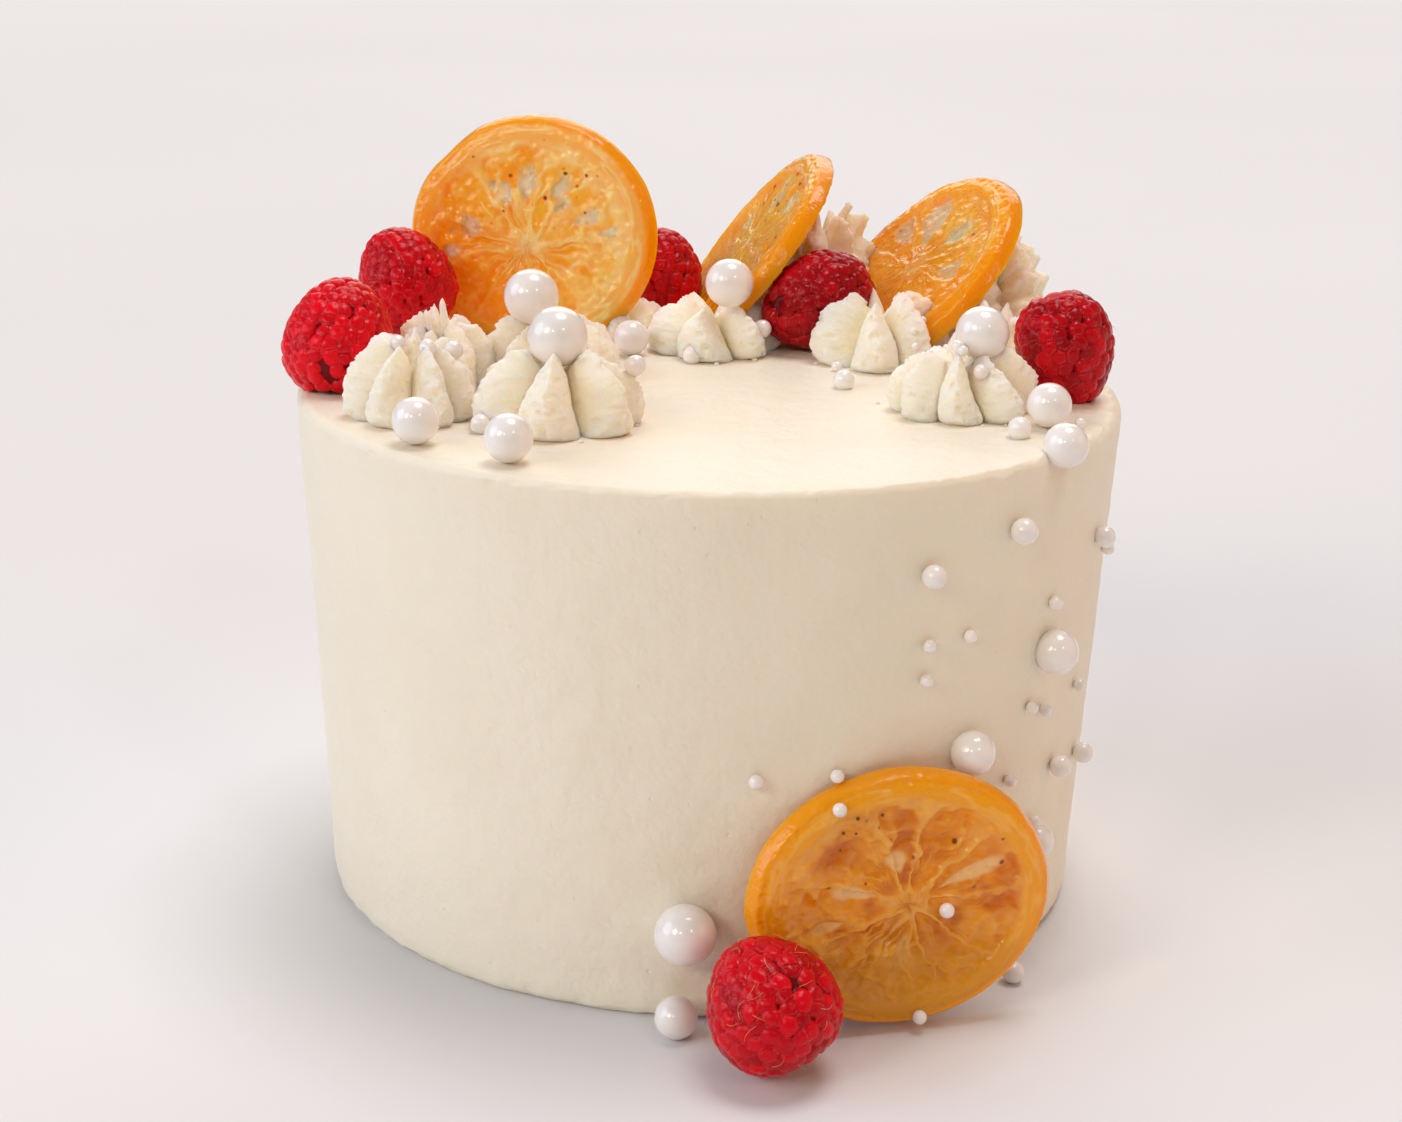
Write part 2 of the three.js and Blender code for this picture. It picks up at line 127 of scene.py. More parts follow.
# Small pearls on the cake's top (x, y, radius) and on its side (heading, height, radius)
SMALL_TOP = [
    (59.5, -41.8, 2.4), (-43.4, -45.3, 2.1), (27.5, -4.6, 2.25), (-3.7, 15.9, 2.15),
    (-9.9, 23.5, 1.5), (26.8, 10.2, 1.2), (72.2, -33.6, 1.2),
]
SMALL_SIDE = [
    (-46.9, 93.5, 2.6), (-22.8, 83.7, 2.15), (-61.1, 88.2, 2.35), (-20, 36, 2.15),
    (-30.7, 38.6, 2.25), (-17.5, 79, 1.35), (-37.3, 75.7, 1.4), (-54.2, 74.6, 1.3),
    (-60.6, 74.3, 1.3), (-60.7, 67.4, 1.3), (-25.4, 53.4, 1.3), (-40.3, 55.3, 1.3),
    (-36.7, 53.2, 1.25), (-43.7, 41.2, 1.3), (-83.2, 50.5, 1.45), (-72.6, 50.6, 1.35),
    (-36.1, 29, 1.25),
]
# The share of a small pearl's width that is sunk in what it lies on
SMALL_SINK = 0.16
# Small pearls that touch the piping: nearest place and radius, for each swirl
SMALL_ON_SWIRL = {
    "swirl_front_left": [(-60.6, -33.4, 120.3, 1.6), (-54.6, -36, 119.6, 1.75), (-50, -31, 118.6, 1.85)],
    "swirl_front": [(-14.6, -34.5, 116.2, 2.1)],
    "swirl_middle": [(9.8, 22.8, 111, 2)],
    "swirl_right_middle": [(44, 14.5, 115.8, 0.75), (42.9, 11.6, 114.4, 0.8), (42.9, 9.8, 111.8, 0.85)],
    "swirl_front_right": [(48.3, -26, 121.6, 1.3), (47.6, -24.5, 119.6, 1.2), (50.6, -27.5, 120.2, 1.05),
                          (53.5, -28.6, 115.4, 1.5)],
    "swirl_right": [(59.4, 4.5, 118, 1.4), (62.8, 5, 118.5, 0.95)],
}
# Small pearls on a slice's face: across, up and radius
SMALL_ON_SLICE = {
    "citrus_right": [(-7.5, -16.5, 0.95)],
    "citrus_foot": [(-13.2, 19.5, 1.4), (8.1, -2.2, 1.5), (3.2, -23.2, 1.4)],
}
# Upright points of cream where the nozzle left a swirl: x, y, top and radius
SPIKES = {"swirl_left_back": [(-57.2, -9, 121.6, 0.75), (-54, -8, 123.8, 0.8)]}
SPIKE_FOOT_Z = 114.0
TALL_PILES = ("swirl_back_middle", "swirl_back_right")
CRUMBS_PER_SWIRL = 5
# Columns and rows of a large pearl, a small one and a crumb
PEARL_GRID, SMALL_GRID, CRUMB_GRID = (56, 34), (24, 14), (10, 6)
# How far a ball departs from a sphere, as a share of its radius
UNEVEN = 0.006
# The first seed of each kind of piece
SWIRL_SEED, BERRY_SEED, PEARL_SEED, SMALL_SEED, CRUMB_SEED = 300, 500, 100, 200, 77

# Finishes of the candied slices: colours, how opaque the windows are, how much light goes into the
# flesh and how strongly the surface mirrors
# Among these colours, the one for the side of a slice that gets no light through it from behind is painted
# shade.
CITRUS_FINISHES = {
    "candied_citrus": dict(
        rind=(1.0, 0.33, 0.0, 1), pith=(1.0, 0.50, 0.11, 1), flesh=(1.0, 0.52, 0.04, 1),
        deep_flesh=(1.0, 0.38, 0.0, 1), shaded_amber_side=(0.96, 0.35, 0.0, 1), web=(1.0, 0.72, 0.34, 1),
        window=(0.95, 0.68, 0.36, 1), window_alpha=0.6, glow=0.85, gloss=0.3),
    "candied_bright": dict(
        rind=(1.0, 0.30, 0.0, 1), pith=(1.0, 0.36, 0.008, 1), flesh=(1.0, 0.40, 0.02, 1),
        deep_flesh=(1.0, 0.29, 0.0, 1), shaded_amber_side=(1.0, 0.26, 0.0, 1), web=(1.0, 0.56, 0.20, 1),
        window=(0.85, 0.60, 0.34, 1), window_alpha=0.8, glow=1.0, gloss=0.25),
    "candied_amber": dict(
        rind=(1.0, 0.34, 0.0, 1), pith=(1.0, 0.39, 0.006, 1), flesh=(0.95, 0.31, 0.002, 1),
        deep_flesh=(0.62, 0.135, 0.0, 1), shaded_amber_side=(0.66, 0.28, 0.004, 1), web=(1.0, 0.50, 0.10, 1),
        window=(1.0, 0.55, 0.22, 1), window_alpha=1.0, glow=0.3, gloss=0.36),
}
SLICE_FINISH = {"citrus_back_left": "candied_citrus", "citrus_middle": "candied_bright",
                "citrus_right": "candied_bright", "citrus_foot": "candied_amber"}

# Lights: where each comes from, its angular width in degrees, its strength and its colour
LIGHTS = {
    "overhead": ((0.15, 0.15, 0.95), 28, 1.36, (1.0, 0.965, 0.99)),
    "behind": ((0.0, 0.82, 0.50), 50, 1.0, (1.0, 0.95, 0.90)),
    "window": ((-0.6, -0.6, 0.5), 20, 0.74, (1.0, 0.90, 0.74)),
    "sky": ((-0.9, -0.1, 0.4), 40, 1.1, (0.66, 0.76, 1.0)),
    "bounce": ((0.95, -0.1, 0.15), 60, 0.72, (1.0, 0.42, 0.12)),
    "glint_right": ((0.42, -0.66, 0.62), 6, 0.15, (1.0, 0.98, 0.95)),
    "glint_left": ((-0.25, -0.80, 0.54), 6, 0.16, (1.0, 0.98, 0.95)),
}
# Half the width of the floor, in metres, and how strongly the air round the cake glows
FLOOR_HALF_M = 40
AIR_STRENGTH = 0.2


# Numbers and noise

def lattice(cells, seed):
    """A fixed value from -1 to 1 for each whole-number point, made by mixing its bits."""
    x, y, z = cells[..., 0], cells[..., 1], cells[..., 2]
    h = (x * 374761393 + y * 668265263 + z * 1440662683 + seed * 974634777) & 0xFFFFFFFF
    h = ((h ^ (h >> 13)) * 1274126177) & 0xFFFFFFFF
    h = ((h ^ (h >> 15)) * 2246822519) & 0xFFFFFFFF
    return (h ^ (h >> 16)) / 0x7FFFFFFF - 1.0


def noise(points, size, seed):
    """Smooth noise from -1 to 1: the eight lattice values round a point, mixed by a smooth step."""
    q = np.asarray(points, float) / size
    cell = np.floor(q).astype(np.int64)
    f = q - cell
    f = f * f * (3 - 2 * f)
    total = 0.0
    for corner in itertools.product((0, 1), repeat=3):
        weight = np.prod(np.where(np.array(corner, bool), f, 1 - f), axis=-1)
        total = total + weight * lattice(cell + np.array(corner), seed)
    return total


def rough(points, size, seed, octaves=3):
    """Noise of several sizes: each octave is half as large and half as strong as the last."""
    total = 0.0
    for k in range(octaves):
        total = total + noise(points, size / 2 ** k, seed + 17 * k) / 2 ** k
    return total / 1.5


def smooth(x, low, high):
    """0 below low, 1 above high, and a smooth step between."""
    t = np.clip((np.asarray(x, float) - low) / (high - low), 0, 1)
    return t * t * (3 - 2 * t)


def curve(t, knots, values):
    """A smooth curve through values at knots: cubic pieces with slopes from the neighbours."""
    knots, values = np.asarray(knots, float), np.asarray(values, float)
    slopes = np.gradient(values, knots)
    i = np.clip(np.searchsorted(knots, t, side="right") - 1, 0, len(knots) - 2)
    width = knots[i + 1] - knots[i]
    s = (t - knots[i]) / width
    return ((2 * s ** 3 - 3 * s ** 2 + 1) * values[i] + (s ** 3 - 2 * s ** 2 + s) * width * slopes[i]
            + (3 * s ** 2 - 2 * s ** 3) * values[i + 1] + (s ** 3 - s ** 2) * width * slopes[i + 1])


def unit(v):
    v = np.asarray(v, float)
    return v / np.linalg.norm(v, axis=-1, keepdims=True)


def turn_to(tip):
    """The shortest turn that takes +Z to tip, as a 3 by 3 matrix."""
    t = unit(tip)
    axis = np.array([-t[1], t[0], 0.0])
    k = np.array([[0, 0, axis[1]], [0, 0, -axis[0]], [-axis[1], axis[0], 0]])
    return np.eye(3) + k + k @ k / (1 + t[2])


def facing(heading, lift):
    """Columns across, up and out of a face that looks along heading and is lifted, in degrees."""
    a, e = math.radians(heading), math.radians(lift)
    out = np.array([math.cos(e) * math.cos(a), math.cos(e) * math.sin(a), math.sin(e)])
    side = unit(np.cross([0, 0, 1], out))
    return np.stack([side, np.cross(out, side), out], axis=1)


def full_turn(count):
    """Angles in radians of columns that are evenly spaced once round."""
    return np.linspace(0, 2 * math.pi, count, endpoint=False)


def polar(radius, angle, z):
    """Points at a radius, an angle and a height."""
    return np.stack([radius * np.cos(angle), radius * np.sin(angle), z * np.ones_like(angle)], axis=-1)


# Meshes

def closed_grid(rows, start, end):
    """Faces of rows of points that close round an axis, with a point at each end. Rows that go up
    and columns that go anticlockwise seen from above give faces that point out."""
    n, m = rows.shape[:2]
    points = np.concatenate([np.reshape(start, (1, 3)), rows.reshape(-1, 3), np.reshape(end, (1, 3))])
    j = np.arange(m)
    k = (j + 1) % m
    i = (1 + m * np.arange(n - 1))[:, None]
    quads = np.stack([i + j, i + k, i + m + k, i + m + j], axis=-1).reshape(-1, 4)
    top = 1 + m * (n - 1)
    fans = np.concatenate([
        np.stack([np.zeros(m, int), 1 + k, 1 + j], axis=-1),
        np.stack([np.full(m, top + m), top + j, top + k], axis=-1),
    ])
    return points, quads, fans


def with_ends(values, start, end):
    """A mask over the rows of a closed grid, with the values at its two end points."""
    return np.concatenate([[start], np.asarray(values, float).ravel(), [end]])


def joined(parts):
    """Several (points, quads, triangles) as one."""
    base, points, quads, fans = 0, [], [], []
    for p, q, f in parts:
        points.append(p)
        quads.append(q + base)
        fans.append(f + base)
        base += len(p)
    return np.concatenate(points), np.concatenate(quads), np.concatenate(fans)


def tube(path, radius, sides=4):
    """A closed thin tube: a ring of a few sides round each point of a path, square to its way."""
    way = unit(np.gradient(path, axis=0))
    first = unit(np.cross(way, np.array([0.31, 0.17, 0.93])))
    second = np.cross(way, first)
    turn = full_turn(sides)[:, None]
    ring = first[:, None] * np.cos(turn) + second[:, None] * np.sin(turn)
    rows = path[:, None] + np.asarray(radius)[:, None, None] * ring
    return closed_grid(rows, path[0], path[-1])


def add_object(name, data):
    """A new object in the scene that holds a mesh, a light or a camera."""
    made = bpy.data.objects.new(name, data)
    bpy.context.scene.collection.objects.link(made)
    return made


def make_piece(name, shape, material, replaces=(), masks=None):
    """One object from points in millimetres, quads and triangles, with a value per point for each
    mask. It rides on the cake, and stands for the CAD nodes that it replaces."""
    points, quads, fans = shape
    mesh = bpy.data.meshes.new(name)
    mesh.vertices.add(len(points))
    mesh.vertices.foreach_set("co", (np.asarray(points) * MM).astype(np.float32).ravel())
    corners = np.concatenate([quads.ravel(), fans.ravel()]).astype(np.int32)
    mesh.loops.add(len(corners))
    mesh.loops.foreach_set("vertex_index", corners)
    starts = np.concatenate([4 * np.arange(len(quads)), 4 * len(quads) + 3 * np.arange(len(fans))])
    mesh.polygons.add(len(starts))
    mesh.polygons.foreach_set("loop_start", starts.astype(np.int32))
    mesh.update(calc_edges=True)
    mesh.validate()
    mesh.shade_smooth()
    for key, values in (masks or {}).items():
        mesh.attributes.new(key, "FLOAT", "POINT").data.foreach_set("value", values.astype(np.float32))
    piece = add_object(name, mesh)
    mesh.materials.append(material)
    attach(piece, "root")
    if replaces:
        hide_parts(*replaces)
    return piece


# Shader nodes

def feed(tree, socket, value):
    """Sets an input to a value, or links another node's output to it."""
    if isinstance(value, bpy.types.NodeSocket):
        tree.links.new(value, socket)
    else:
        socket.default_value = value


def add_node(tree, kind, inputs=None, **settings):
    """A shader node with its settings, and inputs that are values or other nodes' sockets."""
    made = tree.nodes.new(kind)
    for key, value in settings.items():
        setattr(made, key, value)
    for key, value in (inputs or {}).items():
        feed(tree, made.inputs[key], value)
    return made


def maths(tree, operation, *values):
    return add_node(tree, "ShaderNodeMath", dict(enumerate(values)), operation=operation).outputs[0]


def times(tree, first, second):
    return maths(tree, "MULTIPLY", first, second)


def between(tree, value, low, high, to_low=0.0, to_high=1.0):
    """Maps value from low..high to to_low..to_high by a smooth step."""
    given = {"Value": value, "From Min": low, "From Max": high, "To Min": to_low, "To Max": to_high}
    return add_node(tree, "ShaderNodeMapRange", given, interpolation_type="SMOOTHSTEP").outputs["Result"]


def blend_colours(tree, mask, first, second):
    """first where mask is 0 and second where it is 1. Each is a colour or a socket."""
    return add_node(tree, "ShaderNodeMix", {0: mask, 6: first, 7: second}, data_type="RGBA").outputs[2]


def place(tree):
    return add_node(tree, "ShaderNodeTexCoord").outputs["Object"]


def mask_of(tree, name):
    return add_node(tree, "ShaderNodeAttribute", attribute_name=name).outputs["Fac"]


def new_group(name, given, result, kind="NodeSocketFloat"):
    """A node group with number inputs, each with its usual value, and one output of a kind."""
    group = bpy.data.node_groups.new(name, "ShaderNodeTree")
    for key, value in given.items():
        made = group.interface.new_socket(name=key, in_out="INPUT", socket_type="NodeSocketFloat")
        made.default_value = value
    group.interface.new_socket(name=result, in_out="OUTPUT", socket_type=kind)
    values = group.nodes.new("NodeGroupInput").outputs
    return group, values, group.nodes.new("NodeGroupOutput").inputs[0]


def mottle_group():
    """Soft patches: noise with Scale waves to the metre, sharpened between two levels."""
    group, given, out = new_group(
        "mottle", {"Scale": 50.0, "Detail": 3.0, "Low": 0.35, "High": 0.65}, "Mask")
    patches = add_node(group, "ShaderNodeTexNoise", {
        "Vector": place(group), "Scale": given["Scale"], "Detail": given["Detail"]})
    group.links.new(between(group, patches.outputs["Fac"], given["Low"], given["High"]), out)
    return group


def speck_group():
    """Scattered specks: the round middle of some cells of a Voronoi pattern, chosen by chance."""
    group, given, out = new_group("specks", {"Scale": 300.0, "Size": 0.25, "Share": 0.2}, "Mask")
    cells = add_node(group, "ShaderNodeTexVoronoi", {"Vector": place(group), "Scale": given["Scale"]})
    chance = add_node(group, "ShaderNodeSeparateColor", {"Color": cells.outputs["Color"]})
    kept = maths(group, "LESS_THAN", chance.outputs["Red"], given["Share"])
    size = times(group, given["Size"], chance.outputs["Green"])
    near = maths(group, "SUBTRACT", 1.0, between(group, cells.outputs["Distance"], 0.0, size))
    group.links.new(times(group, kept, near), out)
    return group


def relief_group():
    """Fine relief as a normal: coarse and fine noise less pits, each with its own depth in metres."""
    group, given, out = new_group("relief", {
        "Coarse Scale": 150.0, "Coarse Depth": 0.0001, "Fine Scale": 900.0, "Fine Depth": 0.00003,
        "Pits": 0.0, "Pit Depth": 0.0001}, "Normal", "NodeSocketVector")
    waves = []
    for grain in ("Coarse", "Fine"):
        wave = add_node(group, "ShaderNodeTexNoise", {
            "Vector": place(group), "Scale": given[grain + " Scale"], "Detail": 2.0})
        waves.append(times(group, wave.outputs["Fac"], given[grain + " Depth"]))
    pits = times(group, given["Pits"], given["Pit Depth"])
    total = maths(group, "SUBTRACT", maths(group, "ADD", *waves), pits)
    bump = add_node(group, "ShaderNodeBump", {"Height": total, "Strength": 1.0, "Distance": 1.0})
    group.links.new(bump.outputs["Normal"], out)
    return group


MOTTLE, SPECKS, RELIEF = mottle_group(), speck_group(), relief_group()


def use(tree, group, **values):
    """A placed group with its own values; a _ in a name stands for a space."""
    made = tree.nodes.new("ShaderNodeGroup")
    made.node_tree = group
    for key, value in values.items():
        feed(tree, made.inputs[key.replace("_", " ")], value)
    return made.outputs[0]


def new_material(name, roughness, mirror, within=None, coat=None):
    """A material with one Principled shader: its roughness and how strongly it mirrors, the share of
    light that goes within and how far each colour spreads there in millimetres, and the weight and
    roughness of a coat."""
    fixed = {"Roughness": roughness, "Specular IOR Level": mirror}
    if within:
        fixed.update({"Subsurface Weight": within[0], "Subsurface Radius": within[1],
                      "Subsurface Scale": MM})
    if coat:
        fixed.update({"Coat Weight": coat[0], "Coat Roughness": coat[1]})
    material = bpy.data.materials.new(name)
    material.use_nodes = True
    tree = material.node_tree
    tree.nodes.clear()
    shader = add_node(tree, "ShaderNodeBsdfPrincipled", fixed)
    add_node(tree, "ShaderNodeOutputMaterial", {"Surface": shader.outputs[0]})
    return material, tree, shader.inputs


def dress(tree, shader, colour, coarse, fine, **pits):
    """Gives a shader its colour and its relief: coarse and fine are each a scale and a depth."""
    normal = use(tree, RELIEF, Coarse_Scale=coarse[0], Coarse_Depth=coarse[1], Fine_Scale=fine[0],
                 Fine_Depth=fine[1], **pits)
    tree.links.new(colour, shader["Base Color"])
    tree.links.new(normal, shader["Normal"])


# Finishes

def frosting_material():
    """Buttercream: warm ivory with faint patches, fine pits and a satin gloss."""
    material, tree, shader = new_material("frosting", 0.46, 0.35, (0.25, (4.0, 2.6, 1.4)))
    patches = use(tree, MOTTLE, Scale=38.0, Detail=4.0, Low=0.3, High=0.7)
    colour = blend_colours(tree, patches, (0.895, 0.812, 0.655, 1), (0.92, 0.842, 0.69, 1))
    pits = use(tree, SPECKS, Scale=420.0, Size=0.3, Share=0.12)
    dress(tree, shader, colour, (210.0, 0.0005), (800.0, 0.00014), Pits=pits, Pit_Depth=0.00016)
    return material


def cream_material():
    """Piped cream: ivory on the ridges, with painted warm shade in the valleys and the crown's hollow,
    a warmer yellow that stands in for light bounced and scattered there.
    """
    material, tree, shader = new_material("piped_cream", 0.5, 0.3, (0.9, (6.0, 4.2, 2.0)))
    # Painted warm shade: the valleys and the crown's hollow are coloured a warmer yellow.
    colour = blend_colours(tree, mask_of(tree, "valley_warm_shade"), (1.0, 0.85, 0.73, 1), (1.0, 0.855, 0.65, 1))
    dress(tree, shader, colour, (520.0, 0.00045), (1500.0, 0.00014))
    return material


def pearl_material():
    """A sugar pearl: a warm, pinkish white with faint patches under a clear, smooth coat."""
    material, tree, shader = new_material(
        "sugar_pearl", 0.32, 0.5, (0.1, (0.8, 0.6, 0.5)), coat=(1.0, 0.1))
    patches = use(tree, MOTTLE, Scale=210.0, Detail=2.0, Low=0.3, High=0.7)
    colour = blend_colours(tree, patches, (0.88, 0.825, 0.785, 1), (0.935, 0.885, 0.845, 1))
    dress(tree, shader, colour, (420.0, 0.00002), (2200.0, 0.000006))
    return material


def raspberry_material():
    """Raspberry flesh: red drupelets, each with its own tone, under faint pink patches of painted sheen.
    The creases are painted dark as shade, and a broken pale line runs beside each crease."""
    material, tree, shader = new_material(
        "raspberry", 0.22, 0.13, (0.3, (2.6, 0.2, 0.15)), coat=(0.1, 0.05))
    crease = mask_of(tree, "crease")
    # Painted sheen: faint pink patches in place of soft reflections on the skin.
    pink_sheen = use(tree, MOTTLE, Scale=420.0, Detail=3.0, Low=0.52, High=0.74)
    broken = use(tree, MOTTLE, Scale=600.0, Detail=2.0, Low=0.46, High=0.56)
    beside = times(tree, between(tree, crease, 0.04, 0.16), between(tree, crease, 0.2, 0.5, 1, 0))
    colour = blend_colours(tree, mask_of(tree, "tone"), (0.32, 0.0, 0.003, 1), (0.80, 0.001, 0.012, 1))
    for mask, over in (
            (times(tree, pink_sheen, 0.07), (0.80, 0.07, 0.10, 1)),
            (times(tree, times(tree, beside, broken), 0.22), (0.88, 0.11, 0.11, 1)),
            # Painted shade: the creases and the low places between the caps are darkened.
            (between(tree, crease, 0.5, 1.0), (0.17, 0.0, 0.003, 1)),
            (mask_of(tree, "hollow"), (0.62, 0.08, 0.08, 1))):
        colour = blend_colours(tree, mask, colour, over)
    dress(tree, shader, colour, (900.0, 0.00016), (2600.0, 0.00004))
    return material


def style_material():
    """Dry raspberry styles: golden brown threads."""
    material, tree, shader = new_material("dry_style", 0.45, 0.4)
    patches = use(tree, MOTTLE, Scale=300.0, Detail=1.0)
    tree.links.new(blend_colours(tree, patches, (0.62, 0.30, 0.10, 1), (0.80, 0.48, 0.20, 1)),
                   shader["Base Color"])
    return material


def citrus_material(name, rind, pith, flesh, deep_flesh, shaded_amber_side, web, window, window_alpha, glow, gloss):
    """Candied citrus: syrup-soaked rind, pith and flesh under a wet glaze. Masks on the mesh say
    where the rind, the pith, the webs, the deeper syrup, the side painted darker as shade, the clear
    windows and the burnt specks are. glow is the share of light that goes within."""
    material, tree, shader = new_material(name, 0.1, gloss, (glow, (14.0, 5.0, 0.4)), coat=(0.1, 0.03))
    patches = use(tree, MOTTLE, Scale=260.0, Detail=4.0, Low=0.4, High=0.6)
    soaked = maths(tree, "ADD", times(tree, mask_of(tree, "syrup"), 0.75), times(tree, patches, 0.25))
    clear = mask_of(tree, "window")
    burns = times(tree, use(tree, SPECKS, Scale=430.0, Size=0.5, Share=0.34), mask_of(tree, "burn"))
    colour = blend_colours(tree, soaked, flesh, deep_flesh)
    for mask, over in (
            (mask_of(tree, "pith"), pith), (clear, window),
            (times(tree, mask_of(tree, "membrane"), 0.85), web),
            # Painted shade: the side of the slice that gets no light through it from behind is coloured
            # darker.
            (times(tree, mask_of(tree, "shaded_amber_side"), 0.8), shaded_amber_side), (mask_of(tree, "rind"), rind),
            (between(tree, burns, 0.12, 0.5), (0.20, 0.06, 0.004, 1))):
        colour = blend_colours(tree, mask, colour, over)
    cloudy = times(tree, clear, use(tree, MOTTLE, Scale=330.0, Detail=3.0, Low=0.25, High=0.55))
    tree.links.new(between(tree, cloudy, 0.0, 1.0, 1.0, window_alpha), shader["Alpha"])
    dress(tree, shader, colour, (420.0, 0.0004), (1500.0, 0.00008))
    return material


# The frosted drum

def rim_round(heading):
    """How far the rim is rounded over: most at the back, and less by the square of a share that
    rises from 0 there to 1 at the front."""
    front = np.cos(np.radians(heading + 90)) * 0.5 + 0.5
    return RIM_ROUND - FRONT_LESS * front ** 2


def frosting_shape():
    """The drum's skin, from the middle of the underside out and up to the middle of the top. Each
    row is a place along the profile and each column a heading. Noise moves the side in and out,
    ripples the top, chips the rim, tears it at the right and makes the foot ragged. A lip stands on
    the rim at the front, and a bell-shaped dent makes room for the rim's pearl."""
    heading = np.linspace(0, 360, CAKE_COLUMNS, endpoint=False)[None, :]
    a = np.radians(heading)
    round_over = rim_round(heading)
    lean = math.atan2(TOP_R - FOOT_R, CAKE_H)
    bottom = np.linspace(0.25, 1, UNDER_ROWS)[:, None] * (FOOT_R - FOOT_ROUND)
    foot_arc = np.linspace(-90, -math.degrees(lean), FOOT_ROWS + 1)[1:, None]
    rim_arc = np.radians(np.linspace(-math.degrees(lean), 90, RIM_ROWS)[:, None])
    top = 1 - np.linspace(0, 1, TOP_ROWS + 2)[1:-1, None] ** 0.8
    foot_a = np.radians(foot_arc)
    foot_r = FOOT_R - FOOT_ROUND + FOOT_ROUND * np.cos(foot_a)
    foot_z = FOOT_ROUND + FOOT_ROUND * np.sin(foot_a)
    rim_r = TOP_R - round_over + round_over * np.cos(rim_arc)
    rim_z = CAKE_H - round_over + round_over * np.sin(rim_arc)
    share = np.linspace(0, 1, SIDE_ROWS + 2)[1:-1, None]
    side_r = foot_r[-1] + (rim_r[:1] - foot_r[-1]) * share
    side_z = foot_z[-1] + (rim_z[:1] - foot_z[-1]) * share
    flat = np.ones_like(a)
    r = np.concatenate([bottom * flat, foot_r * flat, side_r, rim_r, top * (TOP_R - round_over)])
    z = np.concatenate([0 * bottom * flat, foot_z * flat, side_z, rim_z, np.full_like(top * flat, CAKE_H)])
    rows = polar(r, a, z)
    side = smooth(z, 1.0, 8.0) * smooth(r, 40, 76)
    wave = 0.35 * noise(rows, 34, 3) + 0.12 * noise(rows, 9, 5)
    scraped = 0.07 * noise(rows * np.array([0.16, 0.16, 1.0]), 2.2, 7)
    r = r - side * (0.5 - wave - scraped)
    ragged = (1 - smooth(z, 0.5, 5)) * smooth(r, 70, 77)
    r = r - ragged * (0.55 + 0.5 * rough(rows, 3.0, 11))
    rim = smooth(z, CAKE_H - 5, CAKE_H - 1.2) * smooth(r, TOP_R - 9, TOP_R - 3)
    coarse_side = smooth(np.cos(a), 0.2, 0.75) * smooth(-np.sin(a), -0.6, 0.1)
    front = smooth(-np.sin(a), 0.2, 0.8)
    torn = coarse_side * 0.8 * smooth(rough(rows, 3.0, 15), -0.2, 0.8)
    z = z - rim * (0.14 + 0.16 * rough(rows, 3, 13) + torn)
    chips = smooth(rough(rows, 2.6, 23), 0.25, 0.8)
    chips = chips * smooth(z, CAKE_H - 3.5, CAKE_H - 1) * smooth(r, 81, 83.5)
    r = r - 0.7 * chips * (0.4 + 0.6 * front)
    lip = np.exp(-((r - TOP_R + 1.6) / 0.7) ** 2) * smooth(z, CAKE_H - 1, CAKE_H - 0.4) * front
    z = z + 0.28 * lip * (0.7 + 0.6 * noise(rows, 3.0, 25))
    at, radius = PEARLS["pearl_rim"]
    under_pearl = np.linalg.norm(rows - np.array(at) + [0, 0, 0.7 * radius], axis=-1)
    r = r - RIM_DENT * np.exp(-(under_pearl / radius) ** 2)
    level = smooth(z, CAKE_H - 1, CAKE_H - 0.2) * (1 - rim)
    z = z + level * (0.10 * noise(rows, 26, 19) + 0.05 * noise(rows, 7, 21) - 0.12)
    rows = polar(r, a, z)
    middle = rows[-1, :, 2].mean()
    return closed_grid(rows, (0, 0, 0), (0, 0, middle))


# Piped swirls

